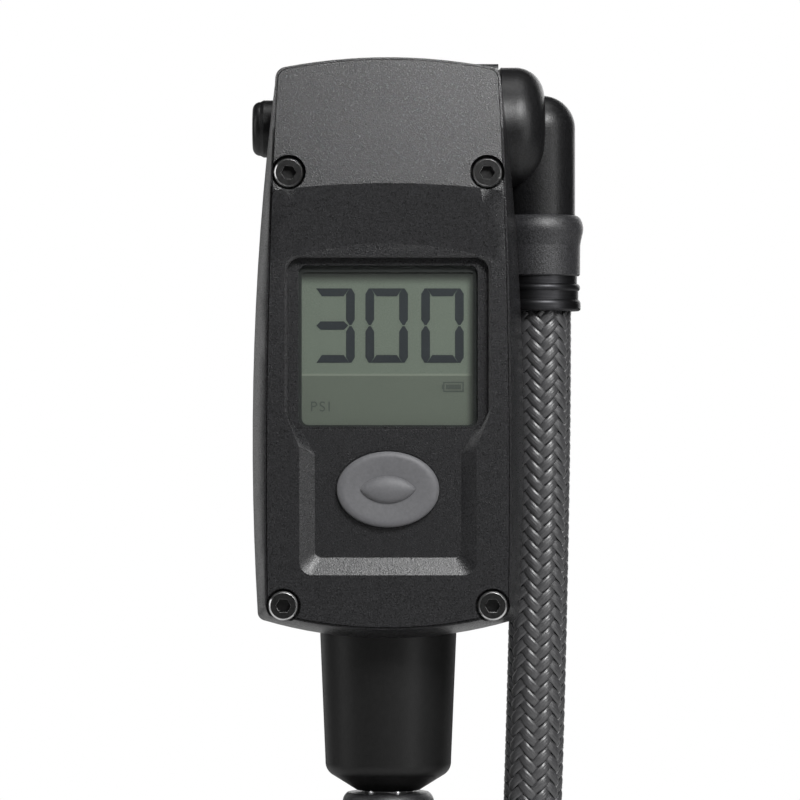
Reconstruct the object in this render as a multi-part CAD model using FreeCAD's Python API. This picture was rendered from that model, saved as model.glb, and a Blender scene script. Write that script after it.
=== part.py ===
import FreeCAD, Part
import math
import os
from FreeCAD import Vector

# A shock pump with a digital gauge, closed and standing on its foot, in millimetres.
# Z is up along the pump's axis, the display faces -Y, and the hose hangs on the +X side.
# The origin is on the pump's axis, on the flat underside of the foot.

# ---- Driving dimensions: handle ----
HANDLE_RADIUS = 12.0
HANDLE_HEIGHT = 80.0
FOOT_RADIUS = 15.0
FOOT_HEIGHT = 5.0
TUBE_RADIUS = 10.5
TUBE_WALL = 1.5
TOP_CAP_HEIGHT = 4.0
DOCK_LOW = 9.0
DOCK_HIGH = 24.0

# ---- Driving dimensions: pump ----
ROD_RADIUS = 4.0
BARREL_BORE = 6.0
BARREL_WALL = 1.5
CLOSED_GAP = 3.3
COLLAR_DROP = 23.7
COLLAR_TOP_RADIUS = 10.45
COLLAR_LOW_RADIUS = 9.65
NECK_RADIUS = 8.95
WIPER_RADIUS = 5.2
RUNNING_FIT = 0.05
PISTON_HEIGHT = 10.0
PISTON_BOLT_RADIUS = 1.5
SEAL_GROOVE_RADIUS = 4.9

# ---- Driving dimensions: head, heights above its lowest point ----
HEAD_HEIGHT = 87.6
CROSS_HEIGHT = 77.7
TOP_ARC = 82.0
BOTTOM_ARC = 67.0
SIDE_HEIGHTS = (4.5, 35.0, 85.5)
RIM_HALVES = (18.4, 18.5, 16.85)
RIM_FLOOR = 1.6
WIDEST_HALVES = (19.8, 20.5, 16.95)
BODY_HALVES = (16.2, 16.4, 15.0)
BODY_FLOOR = 0.8
RIDGE_HEIGHT = 68.55
RIM_LAND = 0.4
SEAM = 0.1
WALL = 1.8

# ---- Driving dimensions: head, depths from the front (negative) to the back ----
FACE_Y = -17.2
RIDGE_Y = -18.3
BROW_TOP_Y = -15.8
RIM_PROUD = 0.35
RECESS_Y = -16.0
COVER_BACK_Y = -13.4
GASKET_THICK = 0.5
WIDEST_Y = -10.0
BODY_Y = -6.8
BACK_Y = 12.0
BACK_EDGE = 2.5

# ---- Driving dimensions: display and buttons ----
GLASS_HALF = 13.5
GLASS_LOW = 32.0
GLASS_HIGH = 56.3
BUTTON_HEIGHT = 22.65
BUTTON_HALF_WIDTH = 7.7
BUTTON_HALF_HEIGHT = 5.7
BLEED_RADIUS = 4.4
BLEED_FACE_X = -20.8
LENS_FRONT_Y = -15.9
TRENCH_Y = -15.5
LENS_STEP_Y = -15.0
POCKET_Y = -14.6
FRAME_FRONT_Y = -14.55
PANEL_FRONT_Y = -14.25
PANEL_BACK_Y = -12.3
FRAME_BACK_Y = -11.5
BOARD_FRONT_Y = -9.6
BOARD_BACK_Y = -8.4
CELL_HEIGHT = 70.5
CELL_RADIUS = 10.0
CELL_FRONT_Y = -14.2
CELL_BACK_Y = -11.0
SWITCH_FRONT_Y = -12.2
STEM_BACK_Y = -13.0

# ---- Driving dimensions: swivel, hose and chuck ----
SWIVEL_SEAT_X = 16.7
ARM_X = 23.6
ARM_RADIUS = 5.1
ARM_ROOT_RADIUS = 4.3
AIR_BORE = 1.4
DISC_RADIUS = 9.4
DISC_EDGE = 4.4
SPIGOT_RADIUS = 3.0
SPIGOT_THREAD_RADIUS = 3.4
SPIGOT_FLANGE_RADIUS = 4.2
SPIGOT_START_X = 4.0
SPIGOT_END_X = 21.7
GROOVE_X = 18.0
PIN_RADIUS = 0.55
SEAL_XS = (19.9, 20.9)
HOSE_RADIUS = 4.5
HOSE_BORE = 1.6
BARB_RADIUS = 2.0
CHUCK_X = 21.4
CRADLE_GAP = 0.7
SLEEVE_RADIUS = 7.0
SLEEVE_LOW = 7.0
SLEEVE_HIGH = 24.0
SOCKET_RADIUS = 3.85
SOCKET_DEPTH = 7.5
SLEEVE_BORE = 4.95
CORE_NECK_RADIUS = 3.4
CHUCK_AIR_BORE = 0.8

# ---- Driving dimensions: screws and valves ----
SCREW_HEAD_RADIUS = 2.2
SCREW_HOLE_RADIUS = 2.62
SCREW_SHANK_RADIUS = 1.25
BOARD_SHANK_RADIUS = 0.9
BLOCK_SHANK_RADIUS = 1.5
BLOCK_HALF_WIDTH = 11.0
BLOCK_FRONT_Y = -8.2
BLOCK_BACK_Y = BACK_Y - 2.6
CHAMBER_RADIUS = 2.4
SEAT_RADIUS = 4.5
SEAT_HEIGHT = 3.0
BOSS_RADIUS = 2.8
BLEED_BORE = 1.65
BLEED_NOSE_RADIUS = 3.0
BLEED_NOSE_X = -7.5
BLEED_PIN_RADIUS = 1.0
BLEED_PIN_X = -17.0
BLEED_SLEEVE_X = -13.5
BLEED_FLOOR_X = -9.5
BOSS_END_X = -12.3

# The hose's route: share of its drop, and share of its lean towards the handle.
HOSE_ROUTE = [
    (0.0, 0.0),
    (0.12, 0.0),
    (0.30, 0.15),
    (0.47, 0.34),
    (0.635, 0.585),
    (0.79, 0.85),
    (0.905, 1.0),
    (1.0, 1.0),
]

# ---- Places that follow from the sizes above ----
COLLAR_LOW = HANDLE_HEIGHT + CLOSED_GAP
HEAD_BASE = COLLAR_LOW + COLLAR_DROP
CROSS_Z = HEAD_BASE + CROSS_HEIGHT
LEDGE_Y = COVER_BACK_Y + GASKET_THICK
BARREL_RADIUS = BARREL_BORE + BARREL_WALL
BARREL_LOW = COLLAR_LOW + 4.4
BLOCK_FACE = CROSS_Z - 7.5
BARREL_HIGH = BLOCK_FACE - 0.6
GLAND_HIGH = BARREL_LOW + 5.0
PISTON_HIGH = BLOCK_FACE - 1.7
PISTON_LOW = PISTON_HIGH - PISTON_HEIGHT
ARM_LOW = CROSS_Z - 13.3
COLLAR_RING_TOP = ARM_LOW - 9.3
HOSE_TOP = COLLAR_RING_TOP - 5.4
FERRULE_LOW = SLEEVE_HIGH + 12.0
HOSE_BOTTOM = FERRULE_LOW + 8.5
SCREW_SEAT_Y = FACE_Y + 2.0
PLUG_LOW = HANDLE_HEIGHT - TOP_CAP_HEIGHT - 12.0
DOCK_MIDDLE = (DOCK_LOW + DOCK_HIGH) / 2
CELL_Z = HEAD_BASE + CELL_HEIGHT
BLOCK_LOW = CROSS_Z - 16.5
BLOCK_HIGH = CROSS_Z + 6.2
CHAMBER_HIGH = CROSS_Z + 2.8
SEAT_HIGH = BLOCK_FACE + SEAT_HEIGHT
CORE_LOW = SLEEVE_LOW + SOCKET_DEPTH + 2.4
COVER_SCREWS = [(side * x, height) for side in (-1, 1) for x, height in ((14.9, 70.2), (15.7, 5.2))]
BOARD_SCREWS = [(side * 12.4, height) for side in (-1, 1) for height in (13.5, 59.0)]
BLOCK_SCREWS = [(side * x, CROSS_Z + rise) for side in (-1, 1) for x, rise in ((9.3, -13.0), (7.0, 4.4))]

ALONG_X = Vector(1, 0, 0)
ALONG_Y = Vector(0, 1, 0)
ALONG_Z = Vector(0, 0, 1)


# ---- Plain shapes ----
def box(x0, x1, y0, y1, z0, z1):
    return Part.makeBox(x1 - x0, y1 - y0, z1 - z0, Vector(x0, y0, z0))


def disc_x(radius, left, right, y=0.0, z=CROSS_Z):
    return Part.makeCylinder(radius, right - left, Vector(left, y, z), ALONG_X)


def disc_y(radius, front, back, x, z):
    return Part.makeCylinder(radius, back - front, Vector(x, front, z), ALONG_Y)


def disc_z(radius, low, high, x=0.0, y=0.0):
    return Part.makeCylinder(radius, high - low, Vector(x, y, low), ALONG_Z)


def ring_x(outer, inner, left, right):
    return disc_x(outer, left, right).cut(disc_x(inner, left - 1, right + 1))


def ring_z(outer, inner, low, high, x=0.0):
    return disc_z(outer, low, high, x).cut(disc_z(inner, low - 1, high + 1, x))


def hexagon(across_flats, low, high, x=0.0):
    """An upright hexagonal bar."""
    corner = across_flats / math.sqrt(3)
    turns = [math.radians(60 * k) for k in range(7)]
    points = [Vector(x + corner * math.cos(t), corner * math.sin(t), low) for t in turns]
    return Part.Face(Part.makePolygon(points)).extrude(Vector(0, 0, high - low))


def closed_wire(steps, place):
    """Joins steps into a closed wire, with place(u, v) giving each point in space. A step (u, v)
    is a straight line to that point. A step (middle, end) is an arc through middle to end."""
    edges = []
    here = steps[0]
    for step in steps[1:] + [steps[0]]:
        curved = isinstance(step[0], tuple)
        there = step[1] if curved else step
        start, end = place(*here), place(*there)
        if curved:
            edges.append(Part.Arc(start, place(*step[0]), end).toShape())
        elif start.distanceToPoint(end) > 1e-6:
            edges.append(Part.LineSegment(start, end).toShape())
        here = there
    return Part.Wire(edges)


def turned_z(steps, x=0.0):
    """Turns a profile of (radius, height) steps about an upright axis."""
    wire = closed_wire(steps, lambda radius, z: Vector(x + radius, 0, z))
    return Part.Face(wire).revolve(Vector(x, 0, 0), ALONG_Z, 360)


def turned_x(steps):
    """Turns a profile of (x, radius) steps about the cross axis of swivel and bleed button."""
    wire = closed_wire(steps, lambda x, radius: Vector(x, 0, CROSS_Z + radius))
    return Part.Face(wire).revolve(Vector(0, 0, CROSS_Z), ALONG_X, 360)


def slab(steps, front, back):
    """Extrudes an outline of (x, height above the head's base) steps from front to back."""
    wire = closed_wire(steps, lambda x, height: Vector(x, front, HEAD_BASE + height))
    return Part.Face(wire).extrude(Vector(0, back - front, 0))


def lofted(sections):
    """Joins (outline, depth) sections of the head by straight ruled sides."""
    wires = [
        closed_wire(steps, lambda x, height, y=y: Vector(x, y, HEAD_BASE + height))
        for steps, y in sections
    ]
    return Part.makeLoft(wires, True, True)


def oval(half_width, half_height, front, back):
    """An elliptical bar along Y at the mode button's place."""
    middle = Vector(0, front, HEAD_BASE + BUTTON_HEIGHT)
    ellipse = Part.Ellipse(Vector(half_width, 0, 0), Vector(0, half_height, 0), Vector(0, 0, 0)).toShape()
    ellipse.rotate(Vector(0, 0, 0), ALONG_X, 90)
    ellipse.translate(middle)
    return Part.Face(Part.Wire(ellipse)).extrude(Vector(0, back - front, 0))


def rounded(corners):
    """Steps round a polygon of (u, v, corner radius) corners."""
    steps = []
    for k, (u, v, radius) in enumerate(corners):
        before = corners[k - 1]
        after = corners[(k + 1) % len(corners)]
        back = Vector(before[0] - u, before[1] - v, 0).normalize()
        ahead = Vector(after[0] - u, after[1] - v, 0).normalize()
        half = back.getAngle(ahead) / 2
        reach = radius / math.tan(half)
        inward = (back + ahead).normalize()
        depth = radius / math.sin(half) - radius
        steps.append((u + back.x * reach, v + back.y * reach))
        middle = (u + inward.x * depth, v + inward.y * depth)
        steps.append((middle, (u + ahead.x * reach, v + ahead.y * reach)))
    return steps


def mirrored(right_side):
    """Adds the left side to the (x, height, radius) corners of a right side, listed downwards."""
    return right_side + [(-x, height, radius) for x, height, radius in reversed(right_side)]


# ---- The head's outline ----
def circle_through(a, b, c):
    """Centre and radius of the circle through three points of a plane."""
    squares = [p[0] ** 2 + p[1] ** 2 for p in (a, b, c)]
    twice_area = 2 * (a[0] * (b[1] - c[1]) + b[0] * (c[1] - a[1]) + c[0] * (a[1] - b[1]))
    u = (squares[0] * (b[1] - c[1]) + squares[1] * (c[1] - a[1]) + squares[2] * (a[1] - b[1])) / twice_area
    v = (squares[0] * (c[0] - b[0]) + squares[1] * (a[0] - c[0]) + squares[2] * (b[0] - a[0])) / twice_area
    return Vector(u, v, 0), math.hypot(a[0] - u, a[1] - v)


def corner_arc(side, end, radius, up):
    """The right-hand corner between the side arc and an end arc, each a (centre, radius), as its
    touching points on both and the point midway. up is 1 at the top and -1 at the bottom."""
    between = end[0] - side[0]
    from_side, from_end = side[1] - radius, end[1] - radius
    along = (from_side**2 - from_end**2 + between.Length**2) / (2 * between.Length)
    off = math.sqrt(from_side**2 - along**2)
    direction = between.normalize()
    across = Vector(-direction.y, direction.x, 0) * up
    centre = side[0] + direction * along + across * off
    on_side = side[0] + (centre - side[0]).normalize() * side[1]
    on_end = end[0] + (centre - end[0]).normalize() * end[1]
    outward = ((on_side - centre) + (on_end - centre)).normalize()
    return on_side, centre + outward * radius, on_end


def head_outline(halves, floor=0.0, inset=0.0, corner=1.8):
    """The head seen from the front: curved sides through three half widths, an arched top, and an
    arched bottom whose lowest point is at floor, all of it moved inwards by inset. It always has
    eight arcs, so that two outlines can be lofted."""
    centre, radius = circle_through(*zip(halves, SIDE_HEIGHTS))
    side = (centre, radius - inset)
    top = (Vector(0, HEAD_HEIGHT - TOP_ARC, 0), TOP_ARC - inset)
    bottom = (Vector(0, floor + BOTTOM_ARC, 0), BOTTOM_ARC - inset)
    side_top, high_corner, top_end = corner_arc(side, top, corner, 1)
    side_low, low_corner, bottom_end = corner_arc(side, bottom, corner, -1)
    side_middle = Vector(centre.x + side[1], centre.y, 0)
    return [
        (side_low.x, side_low.y),
        ((side_middle.x, side_middle.y), (side_top.x, side_top.y)),
        ((high_corner.x, high_corner.y), (top_end.x, top_end.y)),
        ((0.0, HEAD_HEIGHT - inset), (-top_end.x, top_end.y)),
        ((-high_corner.x, high_corner.y), (-side_top.x, side_top.y)),
        ((-side_middle.x, side_middle.y), (-side_low.x, side_low.y)),
        ((-low_corner.x, low_corner.y), (-bottom_end.x, bottom_end.y)),
        ((0.0, floor + inset), (bottom_end.x, bottom_end.y)),
        ((low_corner.x, low_corner.y), (side_low.x, side_low.y)),
    ]


def above_brow(behind=0.0):
    """The space in front of the sloping brow, from the ridge above the display to the head's top."""
    ridge_z = HEAD_BASE + RIDGE_HEIGHT
    top_z = HEAD_BASE + HEAD_HEIGHT
    slope = (BROW_TOP_Y - RIDGE_Y) / (top_z - ridge_z)
    low_z, high_z = HEAD_BASE - 5, top_z + 5
    low_y = RIDGE_Y + behind + slope * (low_z - ridge_z)
    high_y = RIDGE_Y + behind + slope * (high_z - ridge_z)
    front_y = low_y - 5
    corners = [(front_y, low_z), (low_y, low_z), (high_y, high_z), (front_y, high_z)]
    points = [Vector(-30, y, z) for y, z in corners + corners[:1]]
    return Part.Face(Part.makePolygon(points)).extrude(Vector(60, 0, 0))


def below_brow():
    """The space in front of the flat face. Its upper end is a cone that leaves the ridge arched."""
    ridge_radius, foot_radius = 65.0, 56.0
    centre_z = HEAD_BASE + RIDGE_HEIGHT - ridge_radius
    growth = (ridge_radius - foot_radius) / (FACE_Y - RIDGE_Y)
    depth = 4.0
    return Part.makeCone(
        foot_radius + growth * depth, foot_radius, depth, Vector(0, FACE_Y - depth, centre_z), ALONG_Y
    )


# ---- Handle ----
def foot_cap():
    lip = 1.2
    cap = turned_z([
        (0, 0),
        (FOOT_RADIUS - lip, 0),
        ((FOOT_RADIUS - lip * 0.3, lip * 0.3), (FOOT_RADIUS, lip)),
        ((FOOT_RADIUS - 0.5, 3.4), (HANDLE_RADIUS, FOOT_HEIGHT)),
        (HANDLE_RADIUS, DOCK_LOW),
        (TUBE_RADIUS, DOCK_LOW),
        (TUBE_RADIUS, FOOT_HEIGHT),
        (TUBE_RADIUS - TUBE_WALL, FOOT_HEIGHT),
        (TUBE_RADIUS - TUBE_WALL, 15),
        (0, 15),
    ])
    return cap.cut(disc_z(6.5, 2.5, 16))


def handle_tube():
    tube = ring_z(TUBE_RADIUS, TUBE_RADIUS - TUBE_WALL, FOOT_HEIGHT, HANDLE_HEIGHT - TOP_CAP_HEIGHT)
    return tube.cut(disc_x(SCREW_SHANK_RADIUS, -TUBE_RADIUS - 1, 0, z=DOCK_MIDDLE))


def handle_grip():
    """A rubber sleeve with a waist between two ridges, so that it sits in the palm."""
    low, high = DOCK_HIGH, HANDLE_HEIGHT - TOP_CAP_HEIGHT
    middle = (low + high) / 2
    edge = 0.6
    return turned_z([
        (TUBE_RADIUS, low),
        (HANDLE_RADIUS - edge, low),
        (HANDLE_RADIUS, low + edge),
        (HANDLE_RADIUS, low + 5),
        ((HANDLE_RADIUS - 0.7, middle), (HANDLE_RADIUS, high - 5)),
        (HANDLE_RADIUS, high - edge),
        (HANDLE_RADIUS - edge, high),
        (TUBE_RADIUS, high),
    ])


def handle_top():
    low = HANDLE_HEIGHT - TOP_CAP_HEIGHT
    edge = 1.2
    cap = turned_z([
        (0, PLUG_LOW),
        (TUBE_RADIUS - TUBE_WALL, PLUG_LOW),
        (TUBE_RADIUS - TUBE_WALL, low),
        (HANDLE_RADIUS, low),
        (HANDLE_RADIUS, HANDLE_HEIGHT - edge),
        ((HANDLE_RADIUS - edge * 0.3, HANDLE_HEIGHT - edge * 0.3), (HANDLE_RADIUS - edge, HANDLE_HEIGHT)),
        (0, HANDLE_HEIGHT),
    ])
    return cap.cut(disc_z(ROD_RADIUS, PLUG_LOW - 1, HANDLE_HEIGHT + 1))


def hose_dock():
    """A ring round the handle with a cradle, open at the back, for the chuck's knurled sleeve."""
    wall = 1.5
    inner = SLEEVE_RADIUS + CRADLE_GAP
    outer = inner + wall
    depth = 5.5
    cradle_low, cradle_high = DOCK_LOW + 1.5, DOCK_HIGH - 1.5
    cradle = disc_z(outer, cradle_low, cradle_high, CHUCK_X)
    cradle = cradle.fuse(box(CHUCK_X - outer, CHUCK_X + outer, 0, depth, cradle_low, cradle_high))
    cradle = cradle.cut(box(CHUCK_X - outer, CHUCK_X + outer, depth, depth + outer, 0, DOCK_HIGH))
    web = box(HANDLE_RADIUS - 2, CHUCK_X - inner - 0.3, -6.5, 5.5, cradle_low, cradle_high)
    dock = disc_z(HANDLE_RADIUS, DOCK_LOW, DOCK_HIGH).fuse([cradle, web]).removeSplitter()
    dock = dock.cut(disc_z(inner, 0, DOCK_HIGH + 1, CHUCK_X))
    dock = dock.cut(box(CHUCK_X - inner, CHUCK_X + inner, 0, depth + 1, 0, DOCK_HIGH + 1))
    dock = dock.cut(disc_z(TUBE_RADIUS, 0, DOCK_HIGH + 1))
    dock = dock.cut(disc_x(SCREW_SHANK_RADIUS, -HANDLE_RADIUS - 1, 0, z=DOCK_MIDDLE))
    return dock.cut(disc_x(SCREW_HEAD_RADIUS, -HANDLE_RADIUS - 1, -HANDLE_RADIUS + 0.9, z=DOCK_MIDDLE))


def dock_screw():
    """A low-headed screw that pins the dock's ring to the handle tube."""
    seat = -HANDLE_RADIUS + 0.9
    head = disc_x(SCREW_HEAD_RADIUS - 0.1, seat - 1.0, seat, z=DOCK_MIDDLE)
    screw = head.fuse(disc_x(SCREW_SHANK_RADIUS, seat, -TUBE_RADIUS + TUBE_WALL, z=DOCK_MIDDLE))
    socket = hexagon(1.5, 0, 0.8)
    socket.rotate(Vector(0, 0, 0), ALONG_Y, 90)
    socket.translate(Vector(seat - 1.1, 0, DOCK_MIDDLE))
    return screw.cut(socket)


def piston_rod():
    spigot = disc_z(ROD_RADIUS - 1, PISTON_LOW, PISTON_LOW + 3)
    rod = disc_z(ROD_RADIUS, PLUG_LOW - 9, PISTON_LOW).fuse(spigot)
    return rod.cut(disc_z(PISTON_BOLT_RADIUS, PISTON_LOW - 4.5, PISTON_LOW + 4))


def rod_lock_nut():
    across_flats, thick = 13.0, 5.0
    nut = hexagon(across_flats, PLUG_LOW - thick, PLUG_LOW)
    return nut.cut(disc_z(ROD_RADIUS, PLUG_LOW - thick - 1, PLUG_LOW + 1))


def bumper_ring():
    """The rubber ring on the rod that stops the head gently when the pump is closed."""
    low, high = HANDLE_HEIGHT, COLLAR_LOW - 0.4
    middle = (low + high) / 2
    inner = ROD_RADIUS
    return turned_z([
        (inner, low),
        (inner + 2.2, low),
        ((inner + 3.0, middle), (inner + 2.2, high)),
        (inner, high),
    ])


def piston():
    body = disc_z(BARREL_BORE - RUNNING_FIT, PISTON_LOW, PISTON_HIGH)
    body = body.cut(ring_z(BARREL_BORE + 1, SEAL_GROOVE_RADIUS, PISTON_LOW + 4.0, PISTON_LOW + 6.2))
    body = body.cut(disc_z(ROD_RADIUS - 1, PISTON_LOW - 1, PISTON_LOW + 3))
    body = body.cut(disc_z(PISTON_BOLT_RADIUS, PISTON_LOW, PISTON_HIGH + 1))
    return body.cut(disc_z(PISTON_BOLT_RADIUS + 1.3, PISTON_HIGH - 1.6, PISTON_HIGH + 1))


def piston_seal():
    return ring_z(BARREL_BORE - 0.02, SEAL_GROOVE_RADIUS, PISTON_LOW + 4.1, PISTON_LOW + 6.1)


def piston_screw():
    seat = PISTON_HIGH - 1.6
    head = disc_z(PISTON_BOLT_RADIUS + 1.2, seat, PISTON_HIGH + 0.3)
    screw = disc_z(PISTON_BOLT_RADIUS, PISTON_LOW - 4, seat).fuse(head)
    return screw.cut(hexagon(2.0, PISTON_HIGH - 0.8, PISTON_HIGH + 1))


# ---- Head: casing ----
def cover_outline(inset=0.0, corner=1.6):
    """The front cover's outline, which leaves a narrow land of the housing's rim all round it."""
    return head_outline(RIM_HALVES, RIM_FLOOR, RIM_LAND + inset, corner)


def swivel_pad():
    """The square shoulder on the housing's right side that the swivel arm turns against."""
    edge = 1.0
    reach = DISC_RADIUS + 1.0
    high = DISC_RADIUS - 0.1
    corners = [(-reach, -reach, edge), (-reach, high, edge), (reach, high, edge), (reach, -reach, edge)]
    outline = closed_wire(rounded(corners), lambda y, z: Vector(BLOCK_HALF_WIDTH - 1, y, CROSS_Z + z))
    return Part.Face(outline).extrude(Vector(SWIVEL_SEAT_X - BLOCK_HALF_WIDTH + 1, 0, 0))


def rear_housing():
    rim_y = FACE_Y + RIM_PROUD
    outer = lofted([
        (head_outline(RIM_HALVES, RIM_FLOOR), rim_y),
        (head_outline(WIDEST_HALVES, 0.0, 0.0, 1.3), WIDEST_Y),
        (head_outline(BODY_HALVES, BODY_FLOOR), BODY_Y),
        (head_outline(BODY_HALVES, BODY_FLOOR), BACK_Y),
    ])
    back_edges = [edge for edge in outer.Edges if edge.CenterOfMass.y > BACK_Y - 0.01]
    shell = outer.makeFillet(BACK_EDGE, back_edges)
    shell = shell.fuse(swivel_pad()).removeSplitter()
    shell = shell.cut(above_brow(RIM_PROUD))
    shell = shell.cut(slab(cover_outline(-SEAM), rim_y - 2, LEDGE_Y))
    hollow = slab(cover_outline(2.4, 1.0), LEDGE_Y - 1, BODY_Y - 1.2)
    rear_hollow = head_outline(BODY_HALVES, BODY_FLOOR, WALL, 1.0)
    hollow = hollow.fuse(slab(rear_hollow, BODY_Y - 1.4, BACK_Y - WALL))
    bosses = [disc_y(2.6, LEDGE_Y, BODY_Y - 1, x, HEAD_BASE + height) for x, height in COVER_SCREWS]
    posts = [disc_y(2.2, BOARD_BACK_Y, -3.0, x, HEAD_BASE + height) for x, height in BOARD_SCREWS]
    hollow = hollow.cut(bosses + posts)
    shell = shell.cut(hollow)
    for x, height in COVER_SCREWS:
        shell = shell.cut(disc_y(SCREW_HOLE_RADIUS, rim_y - 3, SCREW_SEAT_Y, x, HEAD_BASE + height))
        shell = shell.cut(disc_y(SCREW_SHANK_RADIUS, rim_y, -8.9, x, HEAD_BASE + height))
    for x, height in BOARD_SCREWS:
        shell = shell.cut(disc_y(BOARD_SHANK_RADIUS, BOARD_BACK_Y - 1, -3.6, x, HEAD_BASE + height))
    for x, z in BLOCK_SCREWS:
        shell = shell.cut(disc_y(BLOCK_SHANK_RADIUS + 0.05, BACK_Y - WALL - 1, BACK_Y + 1, x, z))
        shell = shell.cut(disc_y(2.9, BACK_Y - 0.9, BACK_Y + 1, x, z))
    shell = shell.cut(disc_z(COLLAR_TOP_RADIUS + 0.02, HEAD_BASE - 5, HEAD_BASE + 1.0))
    shell = shell.cut(disc_z(NECK_RADIUS + 0.05, HEAD_BASE - 5, HEAD_BASE + 8))
    shell = shell.cut(disc_x(DISC_RADIUS + 0.35, SWIVEL_SEAT_X, SWIVEL_SEAT_X + 10))
    shell = shell.cut(disc_x(SPIGOT_FLANGE_RADIUS + 0.1, 5, SWIVEL_SEAT_X + 1))
    return shell.cut(disc_x(BLEED_RADIUS + 0.15, BLEED_FACE_X, -5))


PANEL_OUTLINE = rounded(mirrored([(14.0, 56.9, 0.3), (14.0, 31.1, 0.3)]))
RECESS_EDGE = mirrored([(15.5, 57.7, 2.4), (15.5, 34.3, 2.0), (13.3, 28.9, 2.0), (13.3, 9.8, 2.5)])
RECESS_FLOOR = mirrored([(13.7, 56.45, 1.1), (13.7, 32.8, 1.2), (11.0, 27.9, 1.2), (11.0, 12.4, 1.0)])


def glass_outline(grow):
    corners = [(GLASS_HALF + grow, GLASS_HIGH + grow, 1.2), (GLASS_HALF + grow, GLASS_LOW - grow, 1.4)]
    return rounded(mirrored(corners))


def trench_outline():
    """The outer edge of the sunk channel that runs round the window, narrow along its bottom."""
    side, top, low = GLASS_HALF + 1.6, GLASS_HIGH + 1.15, GLASS_LOW - 0.4
    return rounded(mirrored([(side, top, 2.0), (side, low + 2.7, 1.2), (side - 1.3, low, 0.8)]))


def front_cover():
    cover = slab(cover_outline(), RIDGE_Y - 1, COVER_BACK_Y)
    cover = cover.cut([above_brow(), below_brow()])
    recess_start = FACE_Y - 0.6
    slope = (FACE_Y - recess_start) / (RECESS_Y - FACE_Y)
    edge = [
        (x + (x - floor_x) * slope, z + (z - floor_z) * slope, radius)
        for (x, z, radius), (floor_x, floor_z, _) in zip(RECESS_EDGE, RECESS_FLOOR)
    ]
    cover = cover.cut(lofted([(rounded(edge), recess_start), (rounded(RECESS_FLOOR), RECESS_Y)]))
    cover = cover.cut(slab(trench_outline(), FACE_Y - 1, TRENCH_Y))
    cover = cover.cut(slab(glass_outline(0.0), FACE_Y, COVER_BACK_Y + 1))
    cover = cover.cut(slab(glass_outline(1.0), LENS_STEP_Y, COVER_BACK_Y + 1))
    pocket = rounded(mirrored([(15.3, 58.7, 1.5), (15.3, 11.0, 1.5)]))
    cover = cover.cut(slab(pocket, POCKET_Y, COVER_BACK_Y + 1))
    cover = cover.cut(disc_y(CELL_RADIUS + 1.4, CELL_FRONT_Y - 1.2, COVER_BACK_Y + 1, 0, CELL_Z))
    cover = cover.cut(oval(BUTTON_HALF_WIDTH + 0.12, BUTTON_HALF_HEIGHT + 0.12, FACE_Y, COVER_BACK_Y + 1))
    for x, height in COVER_SCREWS:
        cover = cover.cut(disc_y(SCREW_HOLE_RADIUS, RIDGE_Y - 1, SCREW_SEAT_Y, x, HEAD_BASE + height))
        cover = cover.cut(disc_y(SCREW_SHANK_RADIUS + 0.05, SCREW_SEAT_Y - 1, COVER_BACK_Y + 1, x, HEAD_BASE + height))
    return cover


def cover_gasket():
    """The flat seal between cover and housing, with an ear round each screw."""
    sheet = slab(cover_outline(0.3), COVER_BACK_Y, LEDGE_Y)
    middle = slab(cover_outline(2.4, 1.0), COVER_BACK_Y - 1, LEDGE_Y + 1)
    for x, height in COVER_SCREWS:
        middle = middle.cut(disc_y(2.5, COVER_BACK_Y - 1, LEDGE_Y + 1, x, HEAD_BASE + height))
    seal = sheet.cut(middle)
    for x, height in COVER_SCREWS:
        seal = seal.cut(disc_y(SCREW_SHANK_RADIUS + 0.05, COVER_BACK_Y - 1, LEDGE_Y + 1, x, HEAD_BASE + height))
    return seal


def cap_screw(x, z):
    """A low socket-head screw that points back into the housing."""
    head_high = 1.9
    edge = 0.25
    steps = [
        (0, SCREW_SEAT_Y),
        (SCREW_HEAD_RADIUS, SCREW_SEAT_Y),
        (SCREW_HEAD_RADIUS, SCREW_SEAT_Y - head_high + edge),
        (SCREW_HEAD_RADIUS - edge, SCREW_SEAT_Y - head_high),
        (0, SCREW_SEAT_Y - head_high),
    ]
    wire = closed_wire(steps, lambda radius, y: Vector(x + radius, y, z))
    screw = Part.Face(wire).revolve(Vector(x, 0, z), ALONG_Y, 360)
    screw = screw.fuse(disc_y(SCREW_SHANK_RADIUS, SCREW_SEAT_Y, -9.0, x, z))
    socket = hexagon(2.0, 0, 1.4)
    socket.rotate(Vector(0, 0, 0), ALONG_X, -90)
    socket.translate(Vector(x, SCREW_SEAT_Y - head_high - 0.1, z))
    return screw.cut(socket)


def cover_screws():
    return Part.Compound([cap_screw(x, HEAD_BASE + height) for x, height in COVER_SCREWS])


# ---- Head: display and electronics ----
def window_lens():
    pane = slab(glass_outline(-0.05), LENS_FRONT_Y, LENS_STEP_Y)
    front_edges = [edge for edge in pane.Edges if edge.BoundBox.YMax < LENS_FRONT_Y + 0.01]
    pane = pane.makeChamfer(0.35, front_edges)
    flange = slab(glass_outline(0.95), LENS_STEP_Y, POCKET_Y)
    return pane.fuse(flange).removeSplitter()


def lcd_frame():
    """The bezel that holds the display's glass behind the window."""
    outer = rounded(mirrored([(15.1, 57.9, 1.2), (15.1, 30.1, 1.2)]))
    frame = slab(outer, FRAME_FRONT_Y, FRAME_BACK_Y)
    opening = rounded(mirrored([(13.0, 55.3, 0.6), (13.0, 32.3, 1.1)]))
    frame = frame.cut(slab(opening, FRAME_FRONT_Y - 1, FRAME_BACK_Y + 1))
    return frame.cut(slab(PANEL_OUTLINE, PANEL_FRONT_Y, FRAME_BACK_Y + 1))


def lcd_panel():
    return slab(PANEL_OUTLINE, PANEL_FRONT_Y, PANEL_BACK_Y)


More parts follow.
